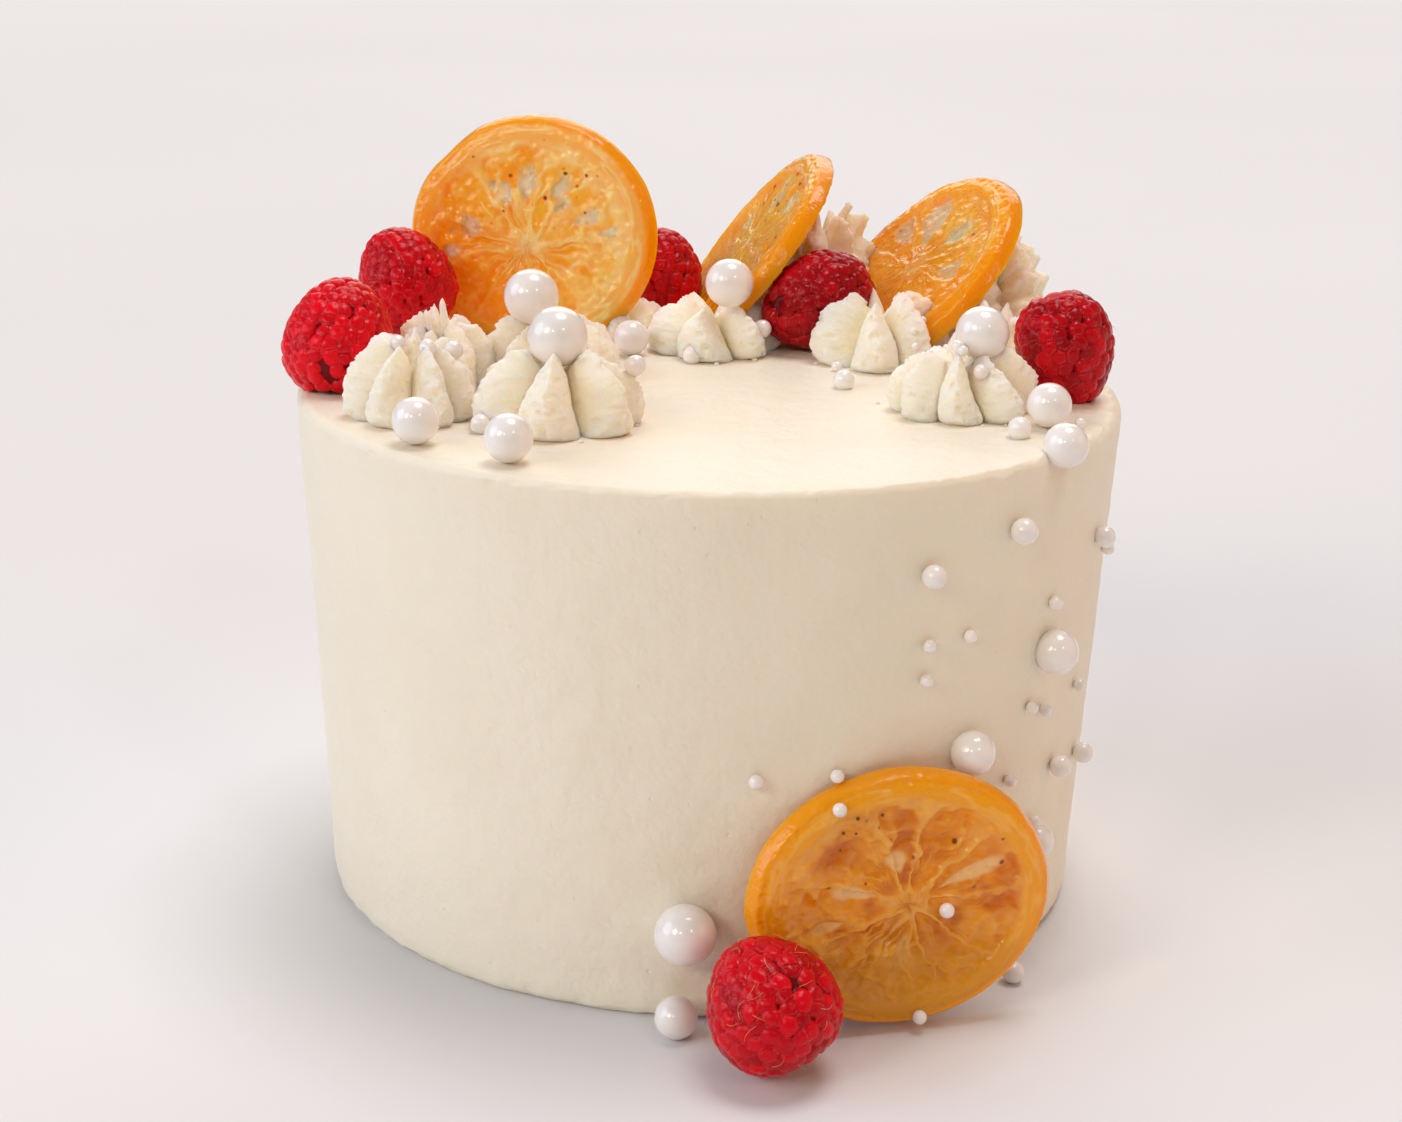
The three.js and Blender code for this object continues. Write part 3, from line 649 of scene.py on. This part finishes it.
def swirl_rows(x, y, r, h, vanes, seed, ruffles=0.0):
    """A piped star drop. Up the rows it swells above the foot, leans in to a ring of tips and drops
    into a hollow crown. Round a row each vane is a rounded leaf: the radius falls from its ridge to
    the slit beside it by one minus a superellipse, round at the foot and thin near the tips. Noise
    lumps the flanks, nicks the ridges, streaks and pits the cream and makes the foot ragged. Ruffles
    make the lumps larger and the valleys shallower, and add waves up the flanks."""
    rng = np.random.default_rng(seed)
    starts = np.array(vanes, float)
    widths = np.diff(np.append(starts, starts[0] + 360))
    u = np.linspace(0, 1, VANE_COLUMNS, endpoint=False)
    bend = u - 0.12 * np.sin(4 * np.pi * u) / 2
    heading = (starts[:, None] + widths[:, None] * bend[None, :]).ravel()
    edge = np.tile(np.minimum(bend, 1 - bend) * 2, len(starts))
    which = np.repeat(np.arange(len(starts)), VANE_COLUMNS)
    after = (which + 1) % len(starts)
    side = np.tile(smooth(u, 0.35, 0.65), len(starts))

    def each(low, high):
        """A value drawn for each vane, carried over to the next in the slit between them."""
        drawn = rng.uniform(low, high, len(starts))
        return drawn[which] * (1 - side) + drawn[after] * side

    reach, tall = each(0.92, 1.05), each(0.86, 1.06)
    t = np.linspace(0, 1, SWIRL_ROWS)[:, None]
    knots = [0, 0.07, 0.24, 0.42, 0.58, 0.72, 0.82, 0.90, 1]
    radius = curve(t, knots, [0.86, 0.94, 1.0, 0.96, 0.84, 0.62, 0.40, 0.22, 0.03])
    height = curve(t, knots, [-0.02, 0.03, 0.21, 0.46, 0.70, 0.90, 1.0, 0.84, 0.62])
    valley = curve(t, knots, [0.28, 0.36, 0.48, 0.57, 0.63, 0.64, 0.60, 0.40, 0.1])
    valley = valley * (1 - 0.35 * ruffles)
    power = curve(t, knots, [2.3, 2.2, 1.9, 1.65, 1.45, 1.3, 1.15, 1.05, 1.0])
    drop = curve(t, knots, [0, 0, 0.03, 0.10, 0.20, 0.32, 0.42, 0.25, 0.0])
    dip = 1 - np.clip(1 - edge ** power, 0, 1) ** (1 / power)
    tallness = 1 + (tall - 1) * smooth(t, 0.3, 0.8)
    radial = r * radius * reach * (1 - valley * dip)
    z = h * height * tallness - h * drop * dip
    turn = each(-9, 9) + rng.uniform(-7, 7)
    curl = each(-7, 7)
    a = np.radians(heading + turn * smooth(t, 0.05, 0.9) + curl * np.sin(np.pi * np.clip(t / 0.85, 0, 1)))
    place_in = polar(radial, a, z) + np.array([x, y, 0]) + 31 * seed
    body = smooth(t, 0.03, 0.15) * (1 - smooth(t, 0.93, 1))
    ridge = np.exp(-(edge / 0.2) ** 2)[None, :] * smooth(t, 0.25, 0.6)
    nick = 1.35 * np.minimum(rough(place_in, 2.0, seed + 5) + 0.15, 0.25) * ridge
    lump = (0.75 + 0.7 * ruffles) * noise(place_in, 5.5, seed + 3)
    lump = lump + (0.38 + 0.5 * ruffles) * noise(place_in, 2.4, seed + 4)
    along = (radial + 1.2 * z) / 2.6
    streaked = np.stack([along, 1.2 * radial - z, radial * a * 0.7], axis=-1) + 5 * seed
    streaks = 0.34 * noise(streaked, 0.95, seed + 9) + 0.20 * noise(place_in, 1.0, seed + 10)
    pitted = -0.65 * smooth(noise(place_in, 1.3, seed + 11), 0.35, 0.8)
    wave = np.sin(height * 24 + 3.0 * noise(place_in, 6, seed + 1) + 1.4 * np.sin(3 * a + seed))
    ripple = ruffles * wave * smooth(t, 0.12, 0.3)
    radial = radial + (nick + lump + streaks + pitted) * body + ripple * (1 - smooth(t, 0.75, 0.9))
    z = z + (0.7 * nick + 0.25 * lump + 0.5 * streaks) * smooth(t, 0.4, 0.8)
    z = z + 0.5 * ripple * (1 - smooth(t, 0.75, 0.9))
    skirt = (1 - smooth(t, 0.0, 0.09)) * (0.75 * rough(place_in, 2.2, seed + 13) + 0.1)
    points = polar(radial + skirt, a, z) + np.array([x, y, CAKE_H])
    # Where the cream gets its painted warm shade: in the valleys between the vanes, fading out near the
    # tips, and in the crown's hollow.
    valley_warm_shade = smooth(dip * smooth(t, 0.0, 0.12), 0.1, 0.85) * (1 - smooth(t, 0.86, 0.95))
    return points, np.maximum(valley_warm_shade, smooth(t, 0.82, 0.93) * 0.9)


def crumbs():
    """Middles and radii of crumbs of cream, scattered round the edge of each swirl's foot."""
    rng = np.random.default_rng(CRUMB_SEED)
    places = []
    for x, y, r in [swirl[:3] for swirl in SWIRLS.values()]:
        for _ in range(CRUMBS_PER_SWIRL):
            a = rng.uniform(0, 2 * math.pi)
            far = r * rng.uniform(0.86, 1.06)
            size = rng.uniform(0.3, 0.75)
            places.append((x + far * math.cos(a), y + far * math.sin(a), CAKE_H - 0.25 * size, size))
    return places


def add_swirl(name, material, seed, ruffles):
    """The piece for one swirl, with its spikes, and its skin for what rests on it."""
    x, y, r, h, vanes = SWIRLS[name]
    points, valley_warm_shade = swirl_rows(x, y, r, h, vanes, seed, ruffles)
    parts = [closed_grid(points, (x, y, CAKE_H - 0.3), points[-1].mean(axis=0))]
    # The painted warm shade at the two end points: none at the foot's middle and most of it at the crown.
    # The spikes get none.
    valley_warm_shade = with_ends(valley_warm_shade, 0, 0.8)
    for sx, sy, top, radius in SPIKES.get(name, ()):
        s = np.linspace(0, 1, 16)
        rise = SPIKE_FOOT_Z + (top - SPIKE_FOOT_Z) * s
        path = np.stack([sx + 0.3 * np.sin(5 * s), np.full_like(s, sy), rise], axis=-1)
        width = radius * (1.9 - 0.9 * smooth(s, 0, 0.6)) * np.sqrt(np.clip(1.02 - s ** 6, 0, 1))
        parts.append(tube(path, width * (1 + 0.12 * noise(path, 1.2, seed)), 14))
        valley_warm_shade = np.concatenate([valley_warm_shade, np.zeros(len(parts[-1][0]))])
    make_piece("cream_" + name, joined(parts), material, [name], {"valley_warm_shade": valley_warm_shade})
    return points


def rest_on(points, at, r):
    """The middle of a small pearl of radius r that lies on a skin, a grid of points, by its nearest
    place to at: out from there along the cross product of the grid's two ways."""
    far = np.linalg.norm(points - np.array(at), axis=-1)
    i, j = np.unravel_index(far.argmin(), far.shape)
    n, m = points.shape[:2]
    step = 3
    i = min(max(i, step), n - 1 - step)
    up = points[i + step, j] - points[i - step, j]
    round_it = points[i, (j + step) % m] - points[i, (j - step) % m]
    out = unit(np.cross(round_it, up))
    return tuple(points[i, j] + out * r * (1 - 2 * SMALL_SINK)) + (r,)


# Raspberries

def egg(a, r, l):
    """Radius and height of the berry's body at latitude a, narrower towards the tip."""
    return r * np.cos(a) * (1 - BERRY_TAPER * np.sin(a)), l / 2 * np.sin(a)


def drupelets(r, l, pitch, seed):
    """Middles of the drupelets on the body: rows a pitch apart along the meridian, each row with as
    many as fit round it, half a step off the last row, and all moved a little by chance."""
    rng = np.random.default_rng(seed)
    a = np.linspace(math.radians(MOUTH_DEG - 4), math.pi / 2, 400)
    radius, z = egg(a, r, l)
    along = np.concatenate([[0], np.cumsum(np.hypot(np.diff(radius), np.diff(z)))])
    row_count = int(round(along[-1] / (0.88 * pitch)))
    found = []
    for i in range(row_count + 1):
        lat = np.interp(along[-1] * (i + 0.35) / (row_count + 0.35), along, a)
        around = 2 * math.pi * egg(lat, r, l)[0]
        count = max(1, int(round(around / pitch)))
        shift = 0.5 * (i % 2) + rng.uniform(-0.12, 0.12)
        for k in range(count):
            turn = 2 * math.pi * (k + shift + rng.uniform(-0.17, 0.17)) / count
            lat_here = min(lat + rng.uniform(-0.5, 0.5) / (l / 2), math.pi / 2)
            found.append((lat_here, turn, rng.uniform(0.88, 1.12), rng.uniform(0, 1)))
    return np.array(found)


def berry_frame(lat, heading, r, l):
    """The middle of a drupelet on the body, and the ways out, across and along there."""
    rad, height = egg(lat, r, l)
    middle = np.array([rad * math.cos(heading), rad * math.sin(heading), height])
    out = unit(middle / np.array([r ** 2, r ** 2, (l / 2) ** 2]))
    across = np.array([-math.sin(heading), math.cos(heading), 0])
    return middle, out, across, np.cross(out, across)


def berry_rows(r, l, pitch, seed, missing):
    """The berry's skin along +Z: a body with a flat-topped cap for each drupelet, the higher cap
    showing where two meet, and a smooth hollow at the open end. The crease mask falls from 1 where
    two caps are equally high to 0 inside a drupelet."""
    body_r, body_l = r - BODY_LESS_R, l - BODY_LESS_L
    turn = full_turn(BERRY_COLUMNS)[None, :]
    a = np.linspace(math.radians(MOUTH_DEG), math.radians(88.5), BERRY_ROWS)[:, None]
    radius, z = egg(a, body_r, body_l)
    points = polar(radius, turn, z)
    normal = unit(points / np.array([body_r ** 2, body_r ** 2, (body_l / 2) ** 2]))
    highest, second = np.zeros(points.shape[:2]), np.zeros(points.shape[:2])
    tone = np.full(points.shape[:2], 0.5)
    rng = np.random.default_rng(seed + 7)
    for lat, heading, size, shade in drupelets(body_r, body_l, pitch, seed):
        middle, out, across, along = berry_frame(lat, heading, body_r, body_l)
        squash, skew = rng.uniform(0.94, 1.06), rng.uniform(-0.25, 0.25)
        if any(np.linalg.norm(unit(middle) - unit(m)) < 0.17 for m in missing):
            continue
        d = points - middle
        side, up = d @ across, d @ along
        side = side + skew * up
        wide, long_way = 0.63 * pitch * size * squash, 0.69 * pitch * size / squash
        far = (side / wide) ** 2 + (up / long_way) ** 2 + (d @ out / 2.8) ** 2
        here = DRUPELET_RISE * (0.86 + 0.26 * shade) * np.clip(1 - far ** 1.45, 0, 1) ** 0.6
        tone = np.where(here > highest, shade, tone)
        second = np.maximum(second, np.minimum(here, highest))
        highest = np.maximum(highest, here)
    # The crease mask marks where the material paints shade in the creases and the pale line beside them.
    crease = np.exp(-(highest - second) / 0.16)
    crease = np.maximum(crease, 1 - smooth(highest, 0.1, 0.7))
    bumps = 0.05 * noise(points + 11 * seed, 0.9, seed + 3)
    points = points + normal * (highest - 0.1 + bumps)[..., None]
    rim = points[0]
    depth = np.linspace(1, 0, HOLLOW_ROWS, endpoint=False)[:, None, None]
    inner = np.array([0.62, 0.62, 0]) * rim * (1 - 0.55 * depth ** 2)
    lift = np.sin(depth * math.pi / 2) * (0.34 * l)
    hollow = inner + np.array([0, 0, 1.0]) * (rim[:, 2].mean() + 0.4 + lift)
    blend_in = smooth(1 - depth, 0.82, 1.0)
    hollow = hollow * (1 - blend_in) + (rim * np.array([0.86, 0.86, 1.0])) * blend_in
    rows = np.concatenate([hollow, points])
    plain = np.zeros(hollow.shape[:2])
    masks = {"crease": np.concatenate([plain, crease]), "tone": np.concatenate([plain + 0.5, tone]),
             "hollow": np.concatenate([plain + 1, 0 * crease])}
    return rows, masks


def berry_hairs(r, l, pitch, seed, count, long_mm):
    """Dry styles on some drupelets: each starts at a drupelet's top, arches and curls along the
    skin, and tapers."""
    body_r, body_l = r - BODY_LESS_R, l - BODY_LESS_L
    rng = np.random.default_rng(seed + 50)
    places = drupelets(body_r, body_l, pitch, seed)
    s = np.linspace(0, 1, 7)[:, None]
    hairs = []
    for lat, heading, size, shade in places[rng.choice(len(places), count, replace=False)]:
        middle, out, across, along = berry_frame(lat, heading, body_r, body_l)
        start = middle + out * (DRUPELET_RISE * 0.8)
        swing, bow = rng.uniform(0, 2 * math.pi), rng.uniform(-0.9, 0.9)
        reach = long_mm * rng.uniform(0.6, 1.2)
        way = across * math.cos(swing) + along * math.sin(swing)
        beside = np.cross(out, way)
        path = start + way * reach * s + beside * bow * np.sin(s * math.pi * 0.8) * reach * 0.4
        path = path + out * (0.6 * np.sin(s * math.pi * 0.75) - 0.045 * (reach * s) ** 2)
        hairs.append(tube(path, 0.055 * (1 - 0.75 * s[:, 0])))
    return joined(hairs)


def add_raspberry(name, material, style, seed):
    """The pieces for one raspberry: the berry, turned to its tip, and its dry styles."""
    at, tip, r, l, pitch = RASPBERRIES[name]
    rows, masks = berry_rows(r, l, pitch, seed, BERRY_HOLES.get(name, ()))
    low, high = BERRY_TONES[name]
    masks["tone"] = low + (high - low) * masks["tone"]
    turn = turn_to(tip)
    rows = rows @ turn.T + np.array(at)
    shape = closed_grid(rows, rows[0].mean(axis=0), rows[-1].mean(axis=0))
    ends = {"crease": (0, 0), "tone": (0.5, 0.5), "hollow": (1, 0)}
    make_piece("berry_" + name, shape, material, [name],
               {k: with_ends(v, *ends[k]) for k, v in masks.items()})
    points, quads, fans = berry_hairs(r, l, pitch, seed, *BERRY_STYLES.get(name, FEW_STYLES))
    points = points @ turn.T + np.array(at)
    points[:, 2] = np.maximum(points[:, 2], STYLE_LOW_Z)
    make_piece("styles_" + name, (points, quads, fans), style)


# Candied slices

# How each slice is cut: middle of the webs in unit-disc places, then clear windows as heading,
# distance out, half length and half width, the heading of the side that is painted darker as shade
# where no light comes through it from behind, how strong its relief and how ragged its windows are,
# and flats in its outline as heading and depth
SLICE_LOOKS = {
    "citrus_back_left": dict(seed=41, segments=9, hub=(-0.06, -0.06), windows=[
        (88, 0.50, 0.17, 0.085), (113, 0.44, 0.12, 0.07), (121, 0.56, 0.07, 0.05), (58, 0.58, 0.13, 0.085),
        (47, 0.46, 0.09, 0.05), (24, 0.62, 0.15, 0.075), (10, 0.72, 0.10, 0.045), (167, 0.46, 0.16, 0.10),
        (190, 0.60, 0.10, 0.07)], shaded_amber_side=215, depth=1.0, ragged=0.9, flats=[(137, 0.035), (205, 0.03)]),
    "citrus_middle": dict(seed=57, segments=9, hub=(0.02, 0.03), windows=[
        (110, 0.5, 0.2, 0.09), (60, 0.55, 0.16, 0.08), (165, 0.5, 0.14, 0.07)],
        shaded_amber_side=320, depth=0.45, ragged=0.9, flats=[(80, 0.02)]),
    "citrus_right": dict(seed=73, segments=8, hub=(0.0, -0.02), windows=[
        (120, 0.55, 0.24, 0.13), (68, 0.5, 0.20, 0.12), (152, 0.62, 0.2, 0.1), (15, 0.5, 0.14, 0.1)],
        shaded_amber_side=310, depth=0.45, ragged=0.9, flats=[(150, 0.03)]),
    "citrus_foot": dict(seed=89, segments=9, hub=(0.05, 0.0), windows=[
        (165, 0.40, 0.17, 0.062), (24, 0.46, 0.24, 0.062), (262, 0.42, 0.16, 0.066), (108, 0.34, 0.1, 0.07),
        (196, 0.60, 0.12, 0.05)], shaded_amber_side=255, depth=1.25, ragged=0.12, flats=[(200, 0.015)]),
}


def slice_field(u, v, seed, segments, hub, windows, shaded_amber_side, depth, ragged):
    """Relief and masks of a slice at unit-disc places (u, v). Uneven wedges of flesh, each a rounded
    cell in its own polar square, lie sunk between pale webs. Strands waver out from the middle, folds
    and lumps of noise ripple the flesh, and clear windows are sunk deepest. Wisps follow the pith's
    ring. depth scales the relief and dims the webs below 1, and ragged breaks the windows' edges."""
    rng = np.random.default_rng(seed)
    flat = np.stack([u, v, np.full_like(u, seed * 1.7)], axis=-1)
    wu = u - hub[0] + 0.07 * rough(flat, 0.36, seed) + 0.03 * rough(flat, 0.1, seed + 16)
    wv = v - hub[1] + 0.07 * rough(flat + 9, 0.36, seed + 1) + 0.03 * rough(flat + 9, 0.1, seed + 17)
    far, turn = np.hypot(wu, wv), np.arctan2(wv, wu) % (2 * math.pi)
    whole = np.hypot(u, v)
    walls = np.sort((np.arange(segments) + rng.uniform(-0.24, 0.24, segments)) * 2 * math.pi / segments)
    ends = np.append(walls, walls[0] + 2 * math.pi)
    turn = np.where(turn < walls[0], turn + 2 * math.pi, turn)
    wedge = np.clip(np.searchsorted(ends, turn, side="right") - 1, 0, segments - 1)
    across = 2 * (turn - ends[wedge]) / (ends[wedge + 1] - ends[wedge]) - 1
    reach = rng.uniform(0.33, 0.38, segments)[wedge]
    cell = np.abs(across) ** 3 + np.abs((far - 0.46) / reach) ** 4
    web = smooth(cell + 0.4 * rough(flat, 0.13, seed + 2), 0.4, 1.0)
    middle = 1 - smooth(far + 0.04 * rough(flat, 0.1, seed + 12), 0.05, 0.2)
    fan = np.stack([turn * 1.5 + 0.35 * rough(flat, 0.3, seed + 5), far * 1.2, flat[..., 2]], axis=-1)
    strand = smooth(1 - np.abs(rough(fan, 0.5, seed + 4, 3)) * 3.0, 0.5, 1.0)
    strand = strand * smooth(rough(flat, 0.26, seed + 3), -0.35, 0.35)
    fold_at = np.stack([turn * 3 + 0.7 * rough(flat, 0.24, seed + 18), far * 1.7, flat[..., 2]], axis=-1)
    fold = smooth(1 - 2.4 * np.abs(noise(fold_at, 0.5, seed + 19)), 0.05, 1.0)
    fold = fold * smooth(rough(flat, 0.22, seed + 21), -0.45, 0.25) * smooth(far, 0.12, 0.3)
    clear = np.zeros_like(u)
    for degrees, out, length, width in windows:
        c, s = math.cos(math.radians(degrees)), math.sin(math.radians(degrees))
        along = (u - hub[0]) * c + (v - hub[1]) * s - out
        beside = -(u - hub[0]) * s + (v - hub[1]) * c
        taper = width * (1 + 0.55 * np.clip(along / length, -1, 1))
        shape = (along / length) ** 2 + (beside / taper) ** 2 + ragged * rough(flat, 0.10, seed + 6)
        clear = np.maximum(clear, 1 - smooth(shape, 0.45 - 0.5 * ragged, 1.2 + 0.3 * ragged))
    flesh = 1 - smooth(whole + 0.03 * rough(flat, 0.25, seed + 7), 0.80, 0.86)
    clear = clear * flesh
    halo = np.clip(1 - np.abs(clear - 0.35) * 2.4, 0, 1)
    ring = np.stack([whole * 5, turn * 0.8, flat[..., 2]], axis=-1)
    wisp = smooth(1 - np.abs(rough(ring, 0.4, seed + 14, 3)) * 3.0, 0.45, 1.0) * (1 - flesh)
    pale = np.maximum(np.maximum(0.85 * web, 0.8 * strand), np.maximum(middle, 0.6 * fold))
    patchy = 0.55 + 0.45 * smooth(rough(flat, 0.16, seed + 22), -0.5, 0.3)
    pale = min(depth, 1.0) * pale * flesh * (1 - 0.7 * clear) * patchy
    pale = np.maximum(pale, 0.75 * wisp)
    lumps = rough(flat, 0.085, seed + 8, 2)
    ripples = 0.46 * fold + 0.30 * lumps + 0.2 * noise(flat, 0.045, seed + 23)
    raised = 0.45 * web + 0.34 * strand + ripples + 0.3 * middle - 0.15
    relief = flesh * (-0.6 + depth * raised) - 0.15 * clear
    relief = relief + 0.12 * rough(flat, 0.2, seed + 9) + (1 - flesh) * (0.08 * lumps + 0.16 * wisp)
    # Painted shade: marks the side of the slice, turned to the given heading, that is coloured darker where
    # no light comes through from behind.
    side = u * math.cos(math.radians(shaded_amber_side)) + v * math.sin(math.radians(shaded_amber_side))
    syrup = smooth(rough(flat, 0.24, seed + 11), -0.25, 0.45) * flesh
    burn = smooth(v, -0.45, 0.5) * (0.25 + 0.3 * flesh + 0.9 * halo)
    return relief, {"membrane": pale, "window": clear, "pith": 1 - flesh, "syrup": syrup,
                    "shaded_amber_side": smooth(side + 0.2 * rough(flat, 0.3, seed + 15), -0.05, 0.6), "burn": burn}


SLICE_MASKS = ("membrane", "window", "pith", "syrup", "shaded_amber_side", "burn", "rind")


def slice_rows(wide, high, look):
    """A slice that faces +Z: rows run from the middle of the back out to the rim, round the slanted
    wall and in over the shown face. Columns go round. Both faces share their windows."""
    look = dict(look)
    flats, seed = look.pop("flats"), look["seed"]
    turn = full_turn(SLICE_COLUMNS)[None, :]
    outline = 1 - 0.014 + 0.012 * rough(polar(1.4, turn, seed), 0.8, seed + 20)
    for degrees, depth in flats:
        outline = outline - depth * np.exp(-((np.degrees(turn) - degrees) / 13) ** 2)
    back = np.linspace(0.03, 0.97, BACK_ROWS)[:, None] ** 0.9
    face = np.linspace(0.985, 0.012, FACE_ROWS)[:, None]
    wall = np.linspace(-1, 1, WALL_ROWS + 2)[1:-1, None]
    half = SLICE_T / 2
    rows, masks = [], {key: [] for key in SLICE_MASKS}
    for share, z_side in ((back, -1), (face, 1)):
        ux, uy = share * np.cos(turn), share * np.sin(turn)
        relief, found = slice_field(ux, uy, **look)
        edge = smooth(share, 0.88, 1.0) * EDGE_ROUND
        flare = SLICE_FLARE * smooth(share, 0.8, 1.0) * (z_side < 0)
        x, y = ux * outline * (wide + flare), uy * outline * (high + flare)
        beads = 0.18 * noise(np.stack([x, y, 0 * x], axis=-1), 0.9, seed + 33) * smooth(share, 0.9, 0.96)
        rows.append(np.stack([x, y, z_side * (half + relief - edge + beads)], axis=-1))
        found["rind"] = smooth(share, 0.945, 0.985) * np.ones_like(turn)
        for key in SLICE_MASKS:
            masks[key].append(found[key])
    bow = np.sqrt(np.clip(1 - wall ** 2, 0, 1))
    grow = 0.985 + 0.015 * bow
    flare = SLICE_FLARE * (1 - wall) / 2 * 0.98
    lumpy = polar(np.ones_like(wall), turn, wall) * np.array([wide, high, half])
    pores = 0.03 * noise(lumpy, 1.1, seed + 30) + 0.09 * noise(lumpy, 4.0, seed + 31)
    x = np.cos(turn) * outline * (wide + flare + pores) * grow
    y = np.sin(turn) * outline * (high + flare + pores) * grow
    z = wall * (half - 0.5) * np.ones_like(turn)
    rows.insert(1, np.stack([x, y, z], axis=-1))
    on_wall = {"pith": 1, "rind": 1, "burn": 0.15}
    for key in SLICE_MASKS:
        masks[key].insert(1, on_wall.get(key, 0) * np.ones_like(x))
    return np.concatenate(rows), {k: np.concatenate(v) for k, v in masks.items()}


def add_slice(name, material):
    """The piece for one slice, turned to face its heading and lift."""
    at, heading, lift, wide, high = SLICES[name]
    rows, masks = slice_rows(wide, high, SLICE_LOOKS[name])
    rows = rows @ facing(heading, lift).T + np.array(at)
    shape = closed_grid(rows, rows[0].mean(axis=0), rows[-1].mean(axis=0))
    make_piece("candied_" + name, shape, material, [name],
               {k: with_ends(v, k == "membrane", k == "membrane") for k, v in masks.items()})


# Pearls

def ball(middle, radius, grid, seed):
    """A sugar ball: a sphere of columns by rows with a very small unevenness."""
    columns, rows_count = grid
    lat = np.linspace(-90, 90, rows_count + 2)[1:-1, None] * math.pi / 180
    way = polar(np.cos(lat), full_turn(columns)[None, :], np.sin(lat))
    uneven = 1 - UNEVEN + UNEVEN * noise(way + seed, 0.9, seed)
    middle = np.array(middle, float)
    pole = np.array([0, 0, radius * (1 - UNEVEN)])
    return closed_grid(middle + radius * uneven[..., None] * way, middle - pole, middle + pole)


def small_balls(places, grid=SMALL_GRID):
    return joined([ball(p[:3], p[3], grid, SMALL_SEED + i) for i, p in enumerate(places)])


def side_place(heading, z, r):
    """Middle of a small pearl that is sunk in the cake's side at a heading and height."""
    out = FOOT_R + (TOP_R - FOOT_R) * z / CAKE_H + r * (1 - 2 * SMALL_SINK)
    a = math.radians(heading)
    return (out * math.cos(a), out * math.sin(a), z, r)


def slice_place(name, across, up, r):
    """Middle of a small pearl on a slice's shown face, no lower than the surface the cake stands on."""
    at, heading, lift = SLICES[name][:3]
    out = SLICE_T / 2 - PEARL_BED + r * (1 - SMALL_SINK)
    middle = facing(heading, lift) @ np.array([across, up, out]) + np.array(at)
    return (middle[0], middle[1], max(middle[2], r), r)


# Build

frosting, cream, pearl = frosting_material(), cream_material(), pearl_material()
raspberry, dry_style = raspberry_material(), style_material()
citrus = {name: citrus_material(name, **look) for name, look in CITRUS_FINISHES.items()}

make_piece("frosted_cake", frosting_shape(), frosting, ["cake"])
swirl_skins = {}
for i, name in enumerate(SWIRLS):
    swirl_skins[name] = add_swirl(name, cream, SWIRL_SEED + i, 1.0 if name in TALL_PILES else 0.0)
for i, name in enumerate(RASPBERRIES):
    add_raspberry(name, raspberry, dry_style, BERRY_SEED + i)
for name in SLICES:
    add_slice(name, citrus[SLICE_FINISH[name]])
for i, (name, (at, radius)) in enumerate(PEARLS.items()):
    make_piece("sugar_" + name, ball(at, radius, PEARL_GRID, PEARL_SEED + i), pearl, [name])

cake_pearls = [(x, y, CAKE_H + r * (1 - 2 * SMALL_SINK), r) for x, y, r in SMALL_TOP]
cake_pearls += [side_place(*p) for p in SMALL_SIDE]
make_piece("small_pearls", small_balls(cake_pearls), pearl, ["cake"])
piping_pearls = [rest_on(swirl_skins[name], p[:3], p[3])
                 for name, spots in SMALL_ON_SWIRL.items() for p in spots]
piping_pearls += [slice_place(name, *p) for name, spots in SMALL_ON_SLICE.items() for p in spots]
make_piece("piping_pearls", small_balls(piping_pearls), pearl)
make_piece("cream_crumbs", small_balls(crumbs(), CRUMB_GRID), frosting, ["cake"])


# Stage, light and camera

def add_stage():
    """A wide, pale, plain floor under the cake."""
    material, tree, shader = new_material("studio_paper", 0.8, 0.2)
    patches = use(tree, MOTTLE, Scale=1.5, Detail=2.0)
    tree.links.new(blend_colours(tree, patches, (0.745, 0.738, 0.745, 1), (0.765, 0.758, 0.765, 1)),
                   shader["Base Color"])
    mesh = bpy.data.meshes.new("studio_floor")
    corners = [(-1, -1), (1, -1), (1, 1), (-1, 1)]
    mesh.from_pydata([(FLOOR_HALF_M * x, FLOOR_HALF_M * y, 0) for x, y in corners], [], [(0, 1, 2, 3)])
    floor = add_object("studio_floor", mesh)
    mesh.materials.append(material)


def add_light(name, direction, width_deg, strength, colour):
    """A wide, far light that comes from a direction, as from a large panel of that angular width."""
    lamp = bpy.data.lights.new(name, "SUN")
    lamp.angle, lamp.energy, lamp.color = math.radians(width_deg), strength, colour
    add_object(name, lamp).rotation_euler = Vector(direction).to_track_quat("Z", "Y").to_euler()


def add_camera():
    """The photograph's viewing angle: a long lens, a little above the cake and slightly rolled."""
    focal_px, width_px, sensor = 2600.0, 1402.0, 36.0
    pitch, roll, distance = math.radians(17.638), math.radians(1.0678), 550.04
    target = np.array([-1.05, 0, 66.61])
    back = np.array([0, -math.cos(pitch), math.sin(pitch)])
    across = np.array([1.0, 0, 0])
    up = np.cross(back, across)
    right = math.cos(roll) * across + math.sin(roll) * up
    top = -math.sin(roll) * across + math.cos(roll) * up
    spot = (target + back * distance) * MM
    camera = bpy.data.cameras.new("camera")
    camera.sensor_width = sensor
    camera.lens = focal_px / width_px * sensor
    camera.clip_start, camera.clip_end = 0.05, 30
    made = add_object("camera", camera)
    axes = np.column_stack([right, top, back, spot])
    made.matrix_world = Matrix([*axes.tolist(), (0, 0, 0, 1)])
    bpy.context.scene.camera = made


add_stage()
for name, light in LIGHTS.items():
    add_light(name, *light)
world = bpy.data.worlds.new("studio")
world.use_nodes = True
air = world.node_tree.nodes["Background"].inputs
air["Color"].default_value = (1.0, 0.96, 0.88, 1)
air["Strength"].default_value = AIR_STRENGTH
bpy.context.scene.world = world
bpy.context.scene.view_settings.view_transform = "Standard"
add_camera()

bpy.context.view_layer.update()
